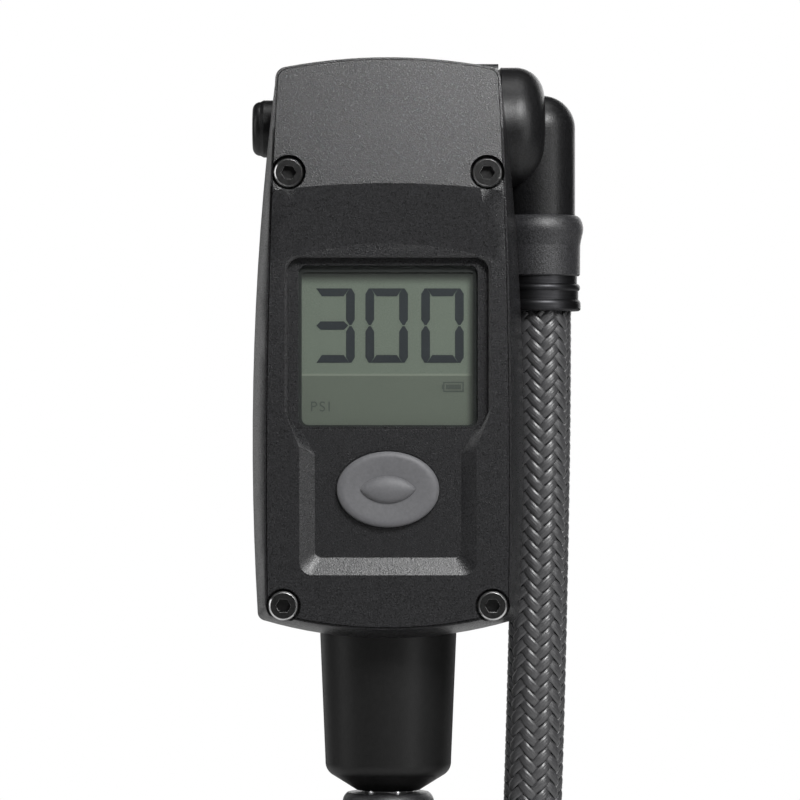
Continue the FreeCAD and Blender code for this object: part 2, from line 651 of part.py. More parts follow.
def contact_strips():
    """Two rubber strips that carry the display's signals to the circuit board."""
    strips = [
        box(-12.5, 12.5, PANEL_BACK_Y, BOARD_FRONT_Y, HEAD_BASE + low, HEAD_BASE + low + 1.6)
        for low in (31.7, 54.7)
    ]
    return Part.Compound(strips)


def circuit_board():
    right = [(11.5, 82.5, 1.0), (11.5, 65.0, 1.0), (14.6, 63.3, 0.8), (14.6, 11.0, 1.5)]
    board = slab(rounded(mirrored(right)), BOARD_FRONT_Y, BOARD_BACK_Y)
    for x, height in BOARD_SCREWS:
        board = board.cut(disc_y(1.1, BOARD_FRONT_Y - 1, BOARD_BACK_Y + 1, x, HEAD_BASE + height))
    return board


def board_screws():
    screws = []
    for x, height in BOARD_SCREWS:
        head = disc_y(1.7, BOARD_FRONT_Y - 1.2, BOARD_FRONT_Y, x, HEAD_BASE + height)
        screws.append(head.fuse(disc_y(BOARD_SHANK_RADIUS, BOARD_FRONT_Y, -3.8, x, HEAD_BASE + height)))
    return Part.Compound(screws)


def coin_cell():
    step = 0.6
    cell = disc_y(CELL_RADIUS, CELL_FRONT_Y + step, CELL_BACK_Y, 0, CELL_Z)
    return cell.fuse(disc_y(CELL_RADIUS - 2 * step, CELL_FRONT_Y, CELL_FRONT_Y + step, 0, CELL_Z)).removeSplitter()


def cell_clip():
    """A sheet-metal bridge over the cell, with a foot pad on the board at each side, and a plate
    under the cell."""
    sheet = 0.3
    half = CELL_RADIUS + 0.3
    low, high = CELL_Z - 3, CELL_Z + 3
    bridge = box(-half - sheet, half + sheet, CELL_FRONT_Y - sheet, BOARD_FRONT_Y, low, high)
    bridge = bridge.cut(box(-half, half, CELL_FRONT_Y, BOARD_FRONT_Y + 1, low - 1, high + 1))
    plate = box(-half, half, BOARD_FRONT_Y - sheet, BOARD_FRONT_Y, low, high)
    spacer = disc_y(3.0, CELL_BACK_Y, BOARD_FRONT_Y - sheet, 0, CELL_Z)
    return bridge.fuse([plate, spacer]).removeSplitter()


def button_switch():
    z = HEAD_BASE + BUTTON_HEIGHT
    body = box(-3, 3, SWITCH_FRONT_Y, BOARD_FRONT_Y, z - 3, z + 3)
    return body.cut(disc_y(1.65, SWITCH_FRONT_Y - 1, -10.8, 0, z))


def switch_plunger():
    return disc_y(1.6, STEM_BACK_Y, -11.5, 0, HEAD_BASE + BUTTON_HEIGHT)


def mode_button():
    """The oval key: a body in the cover's opening, a flange behind it and a stem to the switch."""
    z = HEAD_BASE + BUTTON_HEIGHT
    crown_y = FACE_Y - 0.1
    body = oval(BUTTON_HALF_WIDTH, BUTTON_HALF_HEIGHT, crown_y, POCKET_Y)
    rim = [edge for edge in body.Edges if edge.BoundBox.YMax < crown_y + 0.01]
    body = body.makeFillet(0.6, rim)
    flange = oval(BUTTON_HALF_WIDTH + 0.9, BUTTON_HALF_HEIGHT + 0.9, POCKET_Y + 0.05, -13.9)
    neck = oval(BUTTON_HALF_WIDTH - 0.5, BUTTON_HALF_HEIGHT - 0.5, POCKET_Y - 0.5, -14.2)
    stem = disc_y(1.8, -14.0, STEM_BACK_Y, 0, z)
    return body.fuse([neck, flange, stem]).removeSplitter()


def pressure_sensor():
    """The gauge's sensor: a can on the back of the board, with a nose in the valve block."""
    can = disc_y(3.2, BOARD_BACK_Y, BOARD_BACK_Y + 2.6, 0, CROSS_Z)
    nose = disc_y(1.2, BOARD_BACK_Y + 2.6, BOARD_BACK_Y + 4.2, 0, CROSS_Z)
    return can.fuse(nose).cut(disc_y(0.5, BOARD_BACK_Y + 1.4, BOARD_BACK_Y + 5, 0, CROSS_Z))


def sensor_seal():
    seal = disc_y(2.6, BOARD_BACK_Y + 2.6, BOARD_BACK_Y + 3.6, 0, CROSS_Z)
    return seal.cut(disc_y(1.2, BOARD_BACK_Y + 2, BOARD_BACK_Y + 4, 0, CROSS_Z))


# ---- Head: valve block, barrel and collar ----
def valve_block():
    """The metal block that joins barrel, check valve, sensor, bleed valve and swivel."""
    block = box(-BLOCK_HALF_WIDTH, BLOCK_HALF_WIDTH, BLOCK_FRONT_Y, BLOCK_BACK_Y, BLOCK_LOW, BLOCK_HIGH)
    upright = [edge for edge in block.Edges if edge.BoundBox.ZLength > 10]
    block = block.makeFillet(2.0, upright)
    block = block.cut(disc_z(BARREL_RADIUS, BLOCK_LOW - 1, BLOCK_FACE))
    block = block.cut(disc_z(SEAT_RADIUS, BLOCK_FACE - 1, SEAT_HIGH))
    block = block.cut(disc_z(CHAMBER_RADIUS, BLOCK_FACE, CHAMBER_HIGH))
    block = block.cut(disc_x(BLEED_BORE, -8, 4))
    block = block.cut(disc_x(BLEED_NOSE_RADIUS, -BLOCK_HALF_WIDTH - 1, BLEED_NOSE_X))
    block = block.cut(disc_x(SPIGOT_THREAD_RADIUS, SPIGOT_START_X - 0.5, BLOCK_HALF_WIDTH + 1))
    block = block.cut(disc_y(3.3, -9, BOARD_BACK_Y + 2.6, 0, CROSS_Z))
    block = block.cut(disc_y(2.6, -9, BOARD_BACK_Y + 3.6, 0, CROSS_Z))
    block = block.cut(disc_y(1.2, -9, 0, 0, CROSS_Z))
    for x, z in BLOCK_SCREWS:
        block = block.cut(disc_y(BLOCK_SHANK_RADIUS, 4, BLOCK_BACK_Y + 1, x, z))
    return block


def block_screws():
    """Four screws through the back wall of the housing into the valve block."""
    screws = []
    for x, z in BLOCK_SCREWS:
        head = disc_y(2.75, BACK_Y - 0.9, BACK_Y - 0.05, x, z)
        socket = hexagon(2.0, 0, 0.6)
        socket.rotate(Vector(0, 0, 0), ALONG_X, -90)
        socket.translate(Vector(x, BACK_Y - 0.6, z))
        screws.append(head.fuse(disc_y(BLOCK_SHANK_RADIUS, 4.5, BACK_Y - 0.9, x, z)).cut(socket))
    return Part.Compound(screws)


def pump_barrel():
    return ring_z(BARREL_RADIUS, BARREL_BORE, BARREL_LOW, BARREL_HIGH)


def barrel_seal():
    return ring_z(BARREL_RADIUS - 0.1, BARREL_BORE, BARREL_HIGH, BLOCK_FACE)


def barrel_collar():
    """The black sleeve below the head: it tapers, ends in a blunt dome and carries the barrel."""
    low = COLLAR_LOW
    mouth = ROD_RADIUS + 0.7
    neck_high = HEAD_BASE + 8
    collar = turned_z([
        (mouth, low),
        (mouth + 0.2, low),
        (COLLAR_LOW_RADIUS - 1.25, low + 2.2),
        ((COLLAR_LOW_RADIUS - 0.3, low + 3.1), (COLLAR_LOW_RADIUS, low + 4.4)),
        (COLLAR_TOP_RADIUS, HEAD_BASE),
        (COLLAR_TOP_RADIUS, HEAD_BASE + 1.0),
        (NECK_RADIUS, HEAD_BASE + 1.0),
        (NECK_RADIUS, neck_high),
        (BARREL_RADIUS, neck_high),
        (BARREL_RADIUS, BARREL_LOW),
        (mouth, BARREL_LOW),
    ])
    return collar.cut(disc_z(WIPER_RADIUS, low + 1.0, low + 3.6))


def rod_gland():
    return ring_z(BARREL_BORE, ROD_RADIUS + RUNNING_FIT, BARREL_LOW, GLAND_HIGH)


def gland_wiper():
    return ring_z(WIPER_RADIUS, ROD_RADIUS + 0.03, COLLAR_LOW + 1.0, COLLAR_LOW + 3.6)


def check_seat():
    return ring_z(SEAT_RADIUS, 1.0, BLOCK_FACE, SEAT_HIGH)


def check_poppet():
    head = disc_z(1.9, SEAT_HIGH, SEAT_HIGH + 1.6)
    return head.fuse(disc_z(0.8, SEAT_HIGH + 1.6, SEAT_HIGH + 3.6)).removeSplitter()


def check_spring():
    """The space that the check valve's coil spring fills."""
    return ring_z(1.8, 1.2, SEAT_HIGH + 1.6, CHAMBER_HIGH)


# ---- Bleed valve ----
def bleed_sleeve():
    bore = BOSS_RADIUS + 0.1
    wide = ring_x(BLEED_RADIUS + 0.1, bore, BLEED_SLEEVE_X, -BLOCK_HALF_WIDTH)
    nose = ring_x(BLEED_NOSE_RADIUS, bore, -BLOCK_HALF_WIDTH, BLEED_FLOOR_X)
    floor = ring_x(BLEED_NOSE_RADIUS, BLEED_PIN_RADIUS + RUNNING_FIT, BLEED_FLOOR_X, BLEED_NOSE_X)
    return wide.fuse([nose, floor]).removeSplitter()


def bleed_button():
    """The round bleed button on the left: a domed cap with a step, and a boss in its sleeve."""
    face = BLEED_FACE_X
    skirt = face + 5.15
    button = turned_x([
        (face, 0),
        (face, BLEED_RADIUS - 1.7),
        ((face + 0.35, BLEED_RADIUS - 0.6), (face + 1.2, BLEED_RADIUS - 0.25)),
        (face + 1.7, BLEED_RADIUS),
        (skirt, BLEED_RADIUS),
        (skirt, BOSS_RADIUS),
        (BOSS_END_X, BOSS_RADIUS),
        (BOSS_END_X, 0),
    ])
    return button.cut(disc_x(BLEED_PIN_RADIUS, BLEED_PIN_X, BOSS_END_X + 1))


def bleed_pin():
    pin = disc_x(BLEED_PIN_RADIUS, BLEED_PIN_X, -4.8)
    return pin.cut(ring_x(1.5, 0.75, -6.0, -5.3))


def bleed_o_ring():
    return ring_x(BLEED_BORE - 0.03, 0.75, -5.95, -5.35)


def bleed_spring():
    """The space that the bleed button's coil spring fills."""
    return ring_x(2.4, 1.5, BOSS_END_X, BLEED_FLOOR_X)


# ---- Swivel arm ----
def swivel_spigot():
    """The hollow brass journal that the arm turns on, screwed into the valve block."""
    flange = disc_x(SPIGOT_FLANGE_RADIUS, BLOCK_HALF_WIDTH, SWIVEL_SEAT_X - 0.7)
    spigot = disc_x(SPIGOT_THREAD_RADIUS, SPIGOT_START_X, BLOCK_HALF_WIDTH)
    spigot = spigot.fuse([disc_x(SPIGOT_RADIUS, BLOCK_HALF_WIDTH, SPIGOT_END_X), flange]).removeSplitter()
    spigot = spigot.cut(disc_x(1.0, 0, SPIGOT_END_X + 1))
    spigot = spigot.cut(ring_x(4, 2.5, GROOVE_X - 0.65, GROOVE_X + 0.65))
    for x in SEAL_XS:
        spigot = spigot.cut(ring_x(4, 2.3, x - 0.38, x + 0.38))
    return spigot


def spigot_seals():
    return Part.Compound([ring_x(SPIGOT_RADIUS + 0.02, 2.3, x - 0.34, x + 0.34) for x in SEAL_XS])


def pin_bar(side):
    """The place of one of the two pins, in front of the spigot or behind it."""
    off = SPIGOT_RADIUS + 0.15
    return disc_z(PIN_RADIUS, CROSS_Z - 5.5, CROSS_Z + 5.5, GROOVE_X, side * off)


def spigot_pins():
    """Two pins beside the spigot that lie in its groove and hold the arm on."""
    return Part.Compound([pin_bar(side) for side in (-1, 1)])


def swivel_elbow():
    """The arm's elbow: a round boss on the head's side and a tube, both in one moulding."""
    inner = SWIVEL_SEAT_X + 0.2
    shoulder = ARM_X - 4.1
    lean = math.radians(78)
    crown = (DISC_RADIUS - DISC_EDGE + DISC_EDGE * math.cos(lean)) / math.cos(lean)
    crown_centre = shoulder + (DISC_EDGE - crown) * math.sin(lean)

    def on_edge(turn):
        return shoulder + DISC_EDGE * math.sin(turn), DISC_RADIUS - DISC_EDGE * (1 - math.cos(turn))

    def on_crown(turn):
        return crown_centre + crown * math.sin(turn), crown * math.cos(turn)

    boss = turned_x([
        (inner, 0),
        (inner, DISC_RADIUS - 0.4),
        (inner + 0.4, DISC_RADIUS),
        (shoulder, DISC_RADIUS),
        (on_edge(lean / 2), on_edge(lean)),
        (on_crown((lean + math.pi / 2) / 2), (crown_centre + crown, 0)),
    ])
    neck = disc_z(ARM_RADIUS, ARM_LOW, CROSS_Z, ARM_X)
    root = disc_z(ARM_ROOT_RADIUS, ARM_LOW - 8.0, ARM_LOW, ARM_X)
    elbow = boss.fuse([neck, root, Part.makeSphere(ARM_RADIUS, Vector(ARM_X, 0, CROSS_Z))])
    elbow = elbow.removeSplitter()
    elbow = elbow.cut(disc_x(SPIGOT_RADIUS + RUNNING_FIT, 0, SPIGOT_END_X + 0.2))
    elbow = elbow.cut(disc_x(AIR_BORE, 0, ARM_X))
    elbow = elbow.cut(disc_z(AIR_BORE, ARM_LOW - 9, CROSS_Z, ARM_X))
    elbow = elbow.cut(disc_z(BARB_RADIUS, ARM_LOW - 9, ARM_LOW - 2, ARM_X))
    return elbow.cut([pin_bar(side) for side in (-1, 1)])


def hose_collar():
    """The rubber sleeve where hose and arm meet: a soft bulge at its top over a straight skirt."""
    bulge = 6.33
    skirt = 5.85
    top = ARM_LOW
    collar = turned_z([
        (0, COLLAR_RING_TOP),
        (skirt - 0.2, COLLAR_RING_TOP),
        (skirt, COLLAR_RING_TOP + 0.2),
        (skirt + 0.05, top - 4.6),
        ((skirt + 0.2, top - 3.7), (bulge - 0.05, top - 2.7)),
        ((bulge, top - 1.7), (bulge - 0.3, top - 0.75)),
        ((bulge - 0.6, top - 0.3), (bulge - 1.15, top)),
        (0, top),
    ], ARM_X)
    collar = collar.cut(disc_z(ARM_ROOT_RADIUS, top - 8.0, top + 1, ARM_X))
    return collar.cut(disc_z(BARB_RADIUS, COLLAR_RING_TOP - 1, top, ARM_X))


def crimp_rings():
    """The metal ring that grips the braid below the collar: a neck, a thin ridge, a groove and a
    broad ridge."""
    neck, groove = 5.4, 5.6
    thin, broad = 5.85, 5.95
    top = COLLAR_RING_TOP
    ring = turned_z([
        (0, HOSE_TOP),
        (broad - 0.45, HOSE_TOP),
        ((broad - 0.13, HOSE_TOP + 0.13), (broad, HOSE_TOP + 0.45)),
        (broad, HOSE_TOP + 1.1),
        ((broad - 0.1, HOSE_TOP + 1.5), (groove, HOSE_TOP + 1.75)),
        (groove, top - 2.3),
        ((thin, top - 1.75), (neck, top - 1.2)),
        (neck, top),
        (0, top),
    ], ARM_X)
    return ring.cut(disc_z(BARB_RADIUS, HOSE_TOP - 1, top + 1, ARM_X))


def hose_barb():
    barb = disc_z(BARB_RADIUS, HOSE_TOP, ARM_LOW - 2, ARM_X)
    barb = barb.fuse(disc_z(HOSE_BORE - 0.1, HOSE_TOP - 6, HOSE_TOP, ARM_X))
    for low in (HOSE_TOP - 5.5, HOSE_TOP - 3.5):
        barb = barb.fuse(Part.makeCone(HOSE_BORE - 0.2, HOSE_BORE, 1.0, Vector(ARM_X, 0, low), ALONG_Z))
    return barb.cut(disc_z(0.9, HOSE_TOP - 7, ARM_LOW, ARM_X))


def hose_points():
    drop = HOSE_TOP - HOSE_BOTTOM
    lean = ARM_X - CHUCK_X
    return [Vector(ARM_X - lean * leant, 0, HOSE_TOP - drop * fallen) for fallen, leant in HOSE_ROUTE]


def rounded_path(points):
    """A wire of straight runs joined by tangent arcs, each as large as its two runs allow. Returns
    the wire and the arcs' radii."""
    edges, radii = [], []
    here = points[0]
    for before, corner, after in zip(points, points[1:], points[2:]):
        back, ahead = before - corner, after - corner
        reach = 0.45 * min(back.Length, ahead.Length)
        half_turn = (math.pi - back.getAngle(ahead)) / 2
        radii.append(reach / math.tan(half_turn))
        start = corner + back.normalize() * reach
        end = corner + ahead.normalize() * reach
        inward = (back + ahead).normalize()
        depth = radii[-1] / math.cos(half_turn) - radii[-1]
        edges.append(Part.LineSegment(here, start).toShape())
        edges.append(Part.Arc(start, corner + inward * depth, end).toShape())
        here = end
    edges.append(Part.LineSegment(here, points[-1]).toShape())
    return Part.Wire(edges), radii


def hose():
    """The braided hose, as a plain tube along its route."""
    points = hose_points()
    path, radii = rounded_path(points)
    tubes = []
    for radius in (HOSE_RADIUS, HOSE_BORE):
        circle = Part.Wire(Part.makeCircle(radius, points[0], ALONG_Z))
        tubes.append(path.makePipeShell([circle], True, False))
    tube = tubes[0].cut(tubes[1])
    section = math.pi * (HOSE_RADIUS**2 - HOSE_BORE**2)
    print("hose radii", [round(radius) for radius in radii])
    print("hose length", round(path.Length, 2), "volume over section", round(tube.Volume / section, 2))
    return tube


# ---- Chuck ----
def lower_ferrule():
    outer = 5.9
    ferrule = turned_z([
        (0, FERRULE_LOW),
        (outer, FERRULE_LOW),
        (outer, HOSE_BOTTOM - 1.2),
        ((outer - 0.4, HOSE_BOTTOM - 0.4), (outer - 1.2, HOSE_BOTTOM)),
        (0, HOSE_BOTTOM),
    ], CHUCK_X)
    return ferrule.cut(disc_z(HOSE_BORE - 0.05, FERRULE_LOW - 1, HOSE_BOTTOM + 1, CHUCK_X))


def chuck_body():
    """The chuck's core: a barb in the hose, a shoulder with two flats, a neck and a collar in the
    sleeve."""
    shoulder_low = SLEEVE_HIGH + 0.2
    half_flats = 5.2
    body = disc_z(6.0, shoulder_low, FERRULE_LOW, CHUCK_X)
    flats = box(CHUCK_X - half_flats, CHUCK_X + half_flats, -7, 7, SLEEVE_HIGH + 4, FERRULE_LOW - 3)
    waist = disc_z(6.5, SLEEVE_HIGH + 4, FERRULE_LOW - 3, CHUCK_X)
    body = body.cut(waist.cut(flats))
    body = body.fuse(disc_z(CORE_NECK_RADIUS, CORE_LOW, shoulder_low, CHUCK_X))
    body = body.fuse(disc_z(SLEEVE_BORE - 0.1, CORE_LOW, CORE_LOW + 3.5, CHUCK_X))
    body = body.fuse(disc_z(HOSE_BORE - 0.05, FERRULE_LOW, HOSE_BOTTOM + 6, CHUCK_X)).removeSplitter()
    return body.cut(disc_z(CHUCK_AIR_BORE, CORE_LOW - 1, HOSE_BOTTOM + 7, CHUCK_X))


def chuck_gasket():
    low = SLEEVE_LOW + SOCKET_DEPTH + 0.1
    return ring_z(SLEEVE_BORE - 0.15, HOSE_BORE, low, CORE_LOW, CHUCK_X)


def chuck_pin():
    """The pin that opens the valve's core when the sleeve is screwed on."""
    pin = disc_z(CHUCK_AIR_BORE - 0.1, CORE_LOW - 2.2, CORE_LOW, CHUCK_X)
    return pin.fuse(disc_z(CHUCK_AIR_BORE, CORE_LOW, CORE_LOW + 4, CHUCK_X)).removeSplitter()


def chuck_sleeve():
    """The knurled sleeve, threaded for a valve stem at its lower end."""
    shoulder = SLEEVE_LOW + SOCKET_DEPTH
    lip = 1.6
    edge = 0.7
    sleeve = turned_z([
        (SOCKET_RADIUS, SLEEVE_LOW),
        (SLEEVE_RADIUS - edge, SLEEVE_LOW),
        (SLEEVE_RADIUS, SLEEVE_LOW + edge),
        (SLEEVE_RADIUS, SLEEVE_HIGH - edge),
        (SLEEVE_RADIUS - edge, SLEEVE_HIGH),
        (CORE_NECK_RADIUS + RUNNING_FIT, SLEEVE_HIGH),
        (CORE_NECK_RADIUS + RUNNING_FIT, SLEEVE_HIGH - lip),
        (SLEEVE_BORE, SLEEVE_HIGH - lip),
        (SLEEVE_BORE, shoulder),
        (SOCKET_RADIUS, shoulder),
    ], CHUCK_X)
    grooves = 24
    for k in range(grooves):
        turn = 2 * math.pi * k / grooves
        x = CHUCK_X + SLEEVE_RADIUS * math.cos(turn)
        y = SLEEVE_RADIUS * math.sin(turn)
        sleeve = sleeve.cut(disc_z(0.35, SLEEVE_LOW + 2.5, SLEEVE_HIGH - 2.5, x, y))
    return sleeve


SUB_PARTS = [
    foot_cap, handle_tube, handle_grip, handle_top, hose_dock, dock_screw,
    piston_rod, rod_lock_nut, bumper_ring, piston, piston_seal, piston_screw,
    rear_housing, front_cover, cover_gasket, cover_screws,
    window_lens, lcd_frame, lcd_panel, contact_strips, circuit_board, board_screws,
    coin_cell, cell_clip, button_switch, switch_plunger, mode_button, pressure_sensor, sensor_seal,
    valve_block, block_screws, pump_barrel, barrel_seal, barrel_collar, rod_gland, gland_wiper,
    check_seat, check_poppet, check_spring,
    bleed_sleeve, bleed_button, bleed_pin, bleed_o_ring, bleed_spring,
    swivel_spigot, spigot_seals, spigot_pins, swivel_elbow, hose_collar, crimp_rings, hose_barb,
    hose, lower_ferrule, chuck_body, chuck_gasket, chuck_pin, chuck_sleeve,
]

os.makedirs("parts", exist_ok=True)
for make in SUB_PARTS:
    make().exportStep("parts/" + make.__name__ + ".step")
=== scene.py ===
"""The looks of a digital shock pump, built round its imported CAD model. Lengths are in metres."""

import math

import bmesh
import bpy
import numpy as np
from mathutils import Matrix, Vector


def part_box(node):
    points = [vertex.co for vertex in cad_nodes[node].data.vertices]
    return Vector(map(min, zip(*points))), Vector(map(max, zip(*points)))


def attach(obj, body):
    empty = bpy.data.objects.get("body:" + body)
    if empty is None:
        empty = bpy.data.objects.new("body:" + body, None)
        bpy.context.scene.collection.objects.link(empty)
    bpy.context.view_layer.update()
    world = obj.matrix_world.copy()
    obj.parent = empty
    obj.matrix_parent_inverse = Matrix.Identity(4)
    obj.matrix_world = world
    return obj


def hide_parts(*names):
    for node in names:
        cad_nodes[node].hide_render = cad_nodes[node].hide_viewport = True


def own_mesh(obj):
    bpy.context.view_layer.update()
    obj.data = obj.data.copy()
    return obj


MM = 0.001

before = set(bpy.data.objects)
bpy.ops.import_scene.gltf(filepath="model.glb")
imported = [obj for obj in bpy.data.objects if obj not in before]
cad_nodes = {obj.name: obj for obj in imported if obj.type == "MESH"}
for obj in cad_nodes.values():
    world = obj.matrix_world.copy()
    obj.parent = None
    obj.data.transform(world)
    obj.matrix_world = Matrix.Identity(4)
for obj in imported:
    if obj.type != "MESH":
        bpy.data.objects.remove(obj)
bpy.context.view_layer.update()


# ---- Places read from the frame ----
def middle(node):
    """The middle of a CAD node's box, as a numpy point."""
    low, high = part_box(node)
    return (np.array(low) + np.array(high)) / 2


head_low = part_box("rear_housing")[0]
HEAD_BASE = head_low.z
HOSE_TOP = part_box("crimp_rings")[0].z
HOSE_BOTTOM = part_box("lower_ferrule")[1].z
ARM_X = float(middle("crimp_rings")[0])
CHUCK_X = float(middle("lower_ferrule")[0])
PANEL_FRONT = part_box("lcd_panel")[0].y


# ---- Camera ----
VIEW_WIDTH = 120 * MM
VIEW_DISTANCE = 0.70
VIEW_X = 1.8 * MM
VIEW_RISE = 36 * MM


def make_camera():
    """A long lens, level with the middle of the head and square to its face."""
    data = bpy.data.cameras.new("camera")
    data.sensor_width = 36
    data.lens = data.sensor_width * VIEW_DISTANCE / VIEW_WIDTH
    data.clip_start, data.clip_end = 0.01, 20
    camera = bpy.data.objects.new("camera", data)
    camera.location = (VIEW_X, head_low.y - VIEW_DISTANCE, HEAD_BASE + VIEW_RISE)
    camera.rotation_euler = (math.radians(90), 0, 0)
    bpy.context.scene.collection.objects.link(camera)
    bpy.context.scene.camera = camera


# ---- Node helpers for materials ----
def add(tree, kind, inputs=None, **settings):
    """Adds a node. An input's value is a constant, or a socket to link to it."""
    node = tree.nodes.new(kind)
    for key, value in settings.items():
        setattr(node, key, value)
    for key, value in (inputs or {}).items():
        if isinstance(value, bpy.types.NodeSocket):
            tree.links.new(value, node.inputs[key])
        else:
            node.inputs[key].default_value = value
    return node


def place(tree):
    """Object coordinates."""
    return add(tree, "ShaderNodeTexCoord").outputs["Object"]


def noise(tree, size, stretch=(1, 1, 1), detail=2.0, roughness=0.5, where=None):
    """Noise whose blobs are about size across, divided by stretch along each axis."""
    mapped = add(tree, "ShaderNodeMapping", {"Vector": where or place(tree), "Scale": stretch})
    made = add(
        tree,
        "ShaderNodeTexNoise",
        {"Vector": mapped.outputs[0], "Scale": 1 / size, "Detail": detail, "Roughness": roughness},
    )
    return made.outputs["Fac"]


def between(tree, share, low, high):
    """Maps a share from 0 to 1 onto low to high."""
    return add(tree, "ShaderNodeMapRange", {"Value": share, "To Min": low, "To Max": high}).outputs[0]


def mixed(tree, share, a, b):
    """A colour between a and b."""
    node = add(tree, "ShaderNodeMix", data_type="RGBA")
    for key, value in (("Factor", share), ("A", a), ("B", b)):
        socket = next(s for s in node.inputs if s.name == key and s.enabled)
        if isinstance(value, bpy.types.NodeSocket):
            tree.links.new(value, socket)
        else:
            socket.default_value = value
    return next(s for s in node.outputs if s.enabled)


def bumped(tree, height, depth, under=None):
    """A normal from a height between 0 and 1, whose full range is depth metres."""
    inputs = {"Height": height, "Distance": depth, "Strength": 1.0}
    if under is not None:
        inputs["Normal"] = under
    return add(tree, "ShaderNodeBump", inputs).outputs[0]


def grey(value, tint=0.0):
    """An opaque near-grey colour, a little blue where tint is above 0."""
    return (value * (1 - tint), value * (1 - tint), value * (1 + tint), 1.0)


def finish_of(name, base, roughness, normal=None, **constants):
    """A material with one Principled shader. base and roughness are functions of the node tree or
    constants, and so is normal. The other sockets are constants, by their names."""
    made = bpy.data.materials.new(name)
    made.use_nodes = True
    tree = made.node_tree
    shader = tree.nodes["Principled BSDF"]
    for key, value in (("Base Color", base), ("Roughness", roughness), ("Normal", normal)):
        if callable(value):
            tree.links.new(value(tree), shader.inputs[key])
        elif value is not None:
            shader.inputs[key].default_value = value
    for key, value in constants.items():
        shader.inputs[key.replace("_", " ")].default_value = value
    return made


# ---- Materials ----
COLD = 0.04


def grained(tree, size, depth):
    """Spark-eroded grain: rounded pips over a finer noise."""
    pips = noise(tree, size, detail=1.5, roughness=0.55)
    fine = noise(tree, size * 0.45, detail=2.0, roughness=0.6)
    return bumped(tree, fine, depth * 0.5, bumped(tree, pips, depth))


def speckled(tree, size, low, high):
    """A near-black that is peppered with lighter grain."""
    grain = noise(tree, size, detail=2, roughness=0.7)
    steep = {"Value": grain, "From Min": 0.40, "From Max": 0.62, "To Min": 0.0, "To Max": 1.0}
    sharp = add(tree, "ShaderNodeMapRange", steep).outputs[0]
    return mixed(tree, sharp, grey(low, COLD), grey(high, COLD))


def moulded_plastic():
    """Matte black moulding with a fine grain."""
    return finish_of(
        "moulded_plastic",
        lambda t: speckled(t, 0.17 * MM, 0.001, 0.022),
        lambda t: between(t, noise(t, 0.25 * MM, detail=3), 0.20, 0.38),
        lambda t: grained(t, 0.18 * MM, 0.040 * MM),
        IOR=1.5,
    )


def smooth_plastic():
    """The satin moulding of the swivel arm and the bleed button."""
    return finish_of(
        "smooth_plastic",
        lambda t: speckled(t, 0.2 * MM, 0.001, 0.010),
        lambda t: between(t, noise(t, 0.5 * MM, detail=3), 0.32, 0.44),
        lambda t: grained(t, 0.20 * MM, 0.022 * MM),
        Specular_IOR_Level=0.34,
    )


def inner_plastic():
    """The plain moulding of parts inside the head."""
    return finish_of(
        "inner_plastic",
        lambda t: mixed(t, noise(t, 2 * MM), grey(0.015), grey(0.022)),
        lambda t: between(t, noise(t, 0.7 * MM), 0.35, 0.5),
        lambda t: grained(t, 0.3 * MM, 0.005 * MM),
    )


def soft_rubber():
    """Matte black rubber with a dusty sheen."""
    return finish_of(
        "soft_rubber",
        lambda t: speckled(t, 0.18 * MM, 0.004, 0.034),
        lambda t: between(t, noise(t, 0.4 * MM, detail=3), 0.34, 0.5),
        lambda t: grained(t, 0.18 * MM, 0.04 * MM),
        Sheen_Weight=0.03,
        Sheen_Roughness=0.5,
    )


def dark_rubber():
    """The dull black sleeve under the head."""
    return finish_of(
        "dark_rubber",
        lambda t: mixed(t, noise(t, 0.8 * MM, detail=4), grey(0.003), grey(0.007)),
        lambda t: between(t, noise(t, 0.6 * MM, detail=3), 0.36, 0.5),
        lambda t: grained(t, 0.20 * MM, 0.014 * MM),
        Specular_IOR_Level=0.28,
    )


def seal_rubber():
    """Smooth moulded seals."""
    return finish_of(
        "seal_rubber",
        lambda t: mixed(t, noise(t, 0.6 * MM), grey(0.012), grey(0.02)),
        lambda t: between(t, noise(t, 0.5 * MM), 0.45, 0.6),
        lambda t: grained(t, 0.2 * MM, 0.004 * MM),
    )


def key_rubber():
    """The mode button's mid-grey silicone."""
    return finish_of(
        "key_rubber",
        lambda t: mixed(t, noise(t, 0.5 * MM, detail=3), grey(0.062, 0.03), grey(0.100, 0.03)),
        lambda t: between(t, noise(t, 0.4 * MM), 0.5, 0.65),
        lambda t: grained(t, 0.30 * MM, 0.012 * MM),
        Sheen_Weight=0.1,
    )


def metal(name, low, high, rough_low, rough_high, stretch, size=0.25 * MM, depth=0.002 * MM):
    """A machined metal between two colours, its tool marks drawn out by stretch."""
    return finish_of(
        name,
        lambda t: mixed(t, noise(t, size, stretch, detail=3), low, high),
        lambda t: between(t, noise(t, size * 1.5, stretch, detail=3), rough_low, rough_high),
        lambda t: bumped(t, noise(t, size, stretch, detail=2), depth),
        Metallic=1.0,
    )


# Tool marks that run round an axis are fine along it and drawn out across it.
ROUND_Z = (0.05, 0.05, 1.0)
ROUND_X = (1.0, 0.05, 0.05)
ALL_WAYS = (1.0, 1.0, 1.0)


def dark_anodised():
    """The handle tube's dark grey anodising."""
    return metal("dark_anodised", grey(0.07, 0.03), grey(0.10, 0.03), 0.28, 0.42, ROUND_Z)


def turned_aluminium():
    """Bright turned aluminium."""
    return metal("turned_aluminium", grey(0.68, 0.01), grey(0.80, 0.01), 0.22, 0.36, ROUND_Z)


def plated_steel():
    """Nickel-plated steel."""
    return metal("plated_steel", grey(0.48, 0.02), grey(0.60, 0.02), 0.25, 0.40, ALL_WAYS)


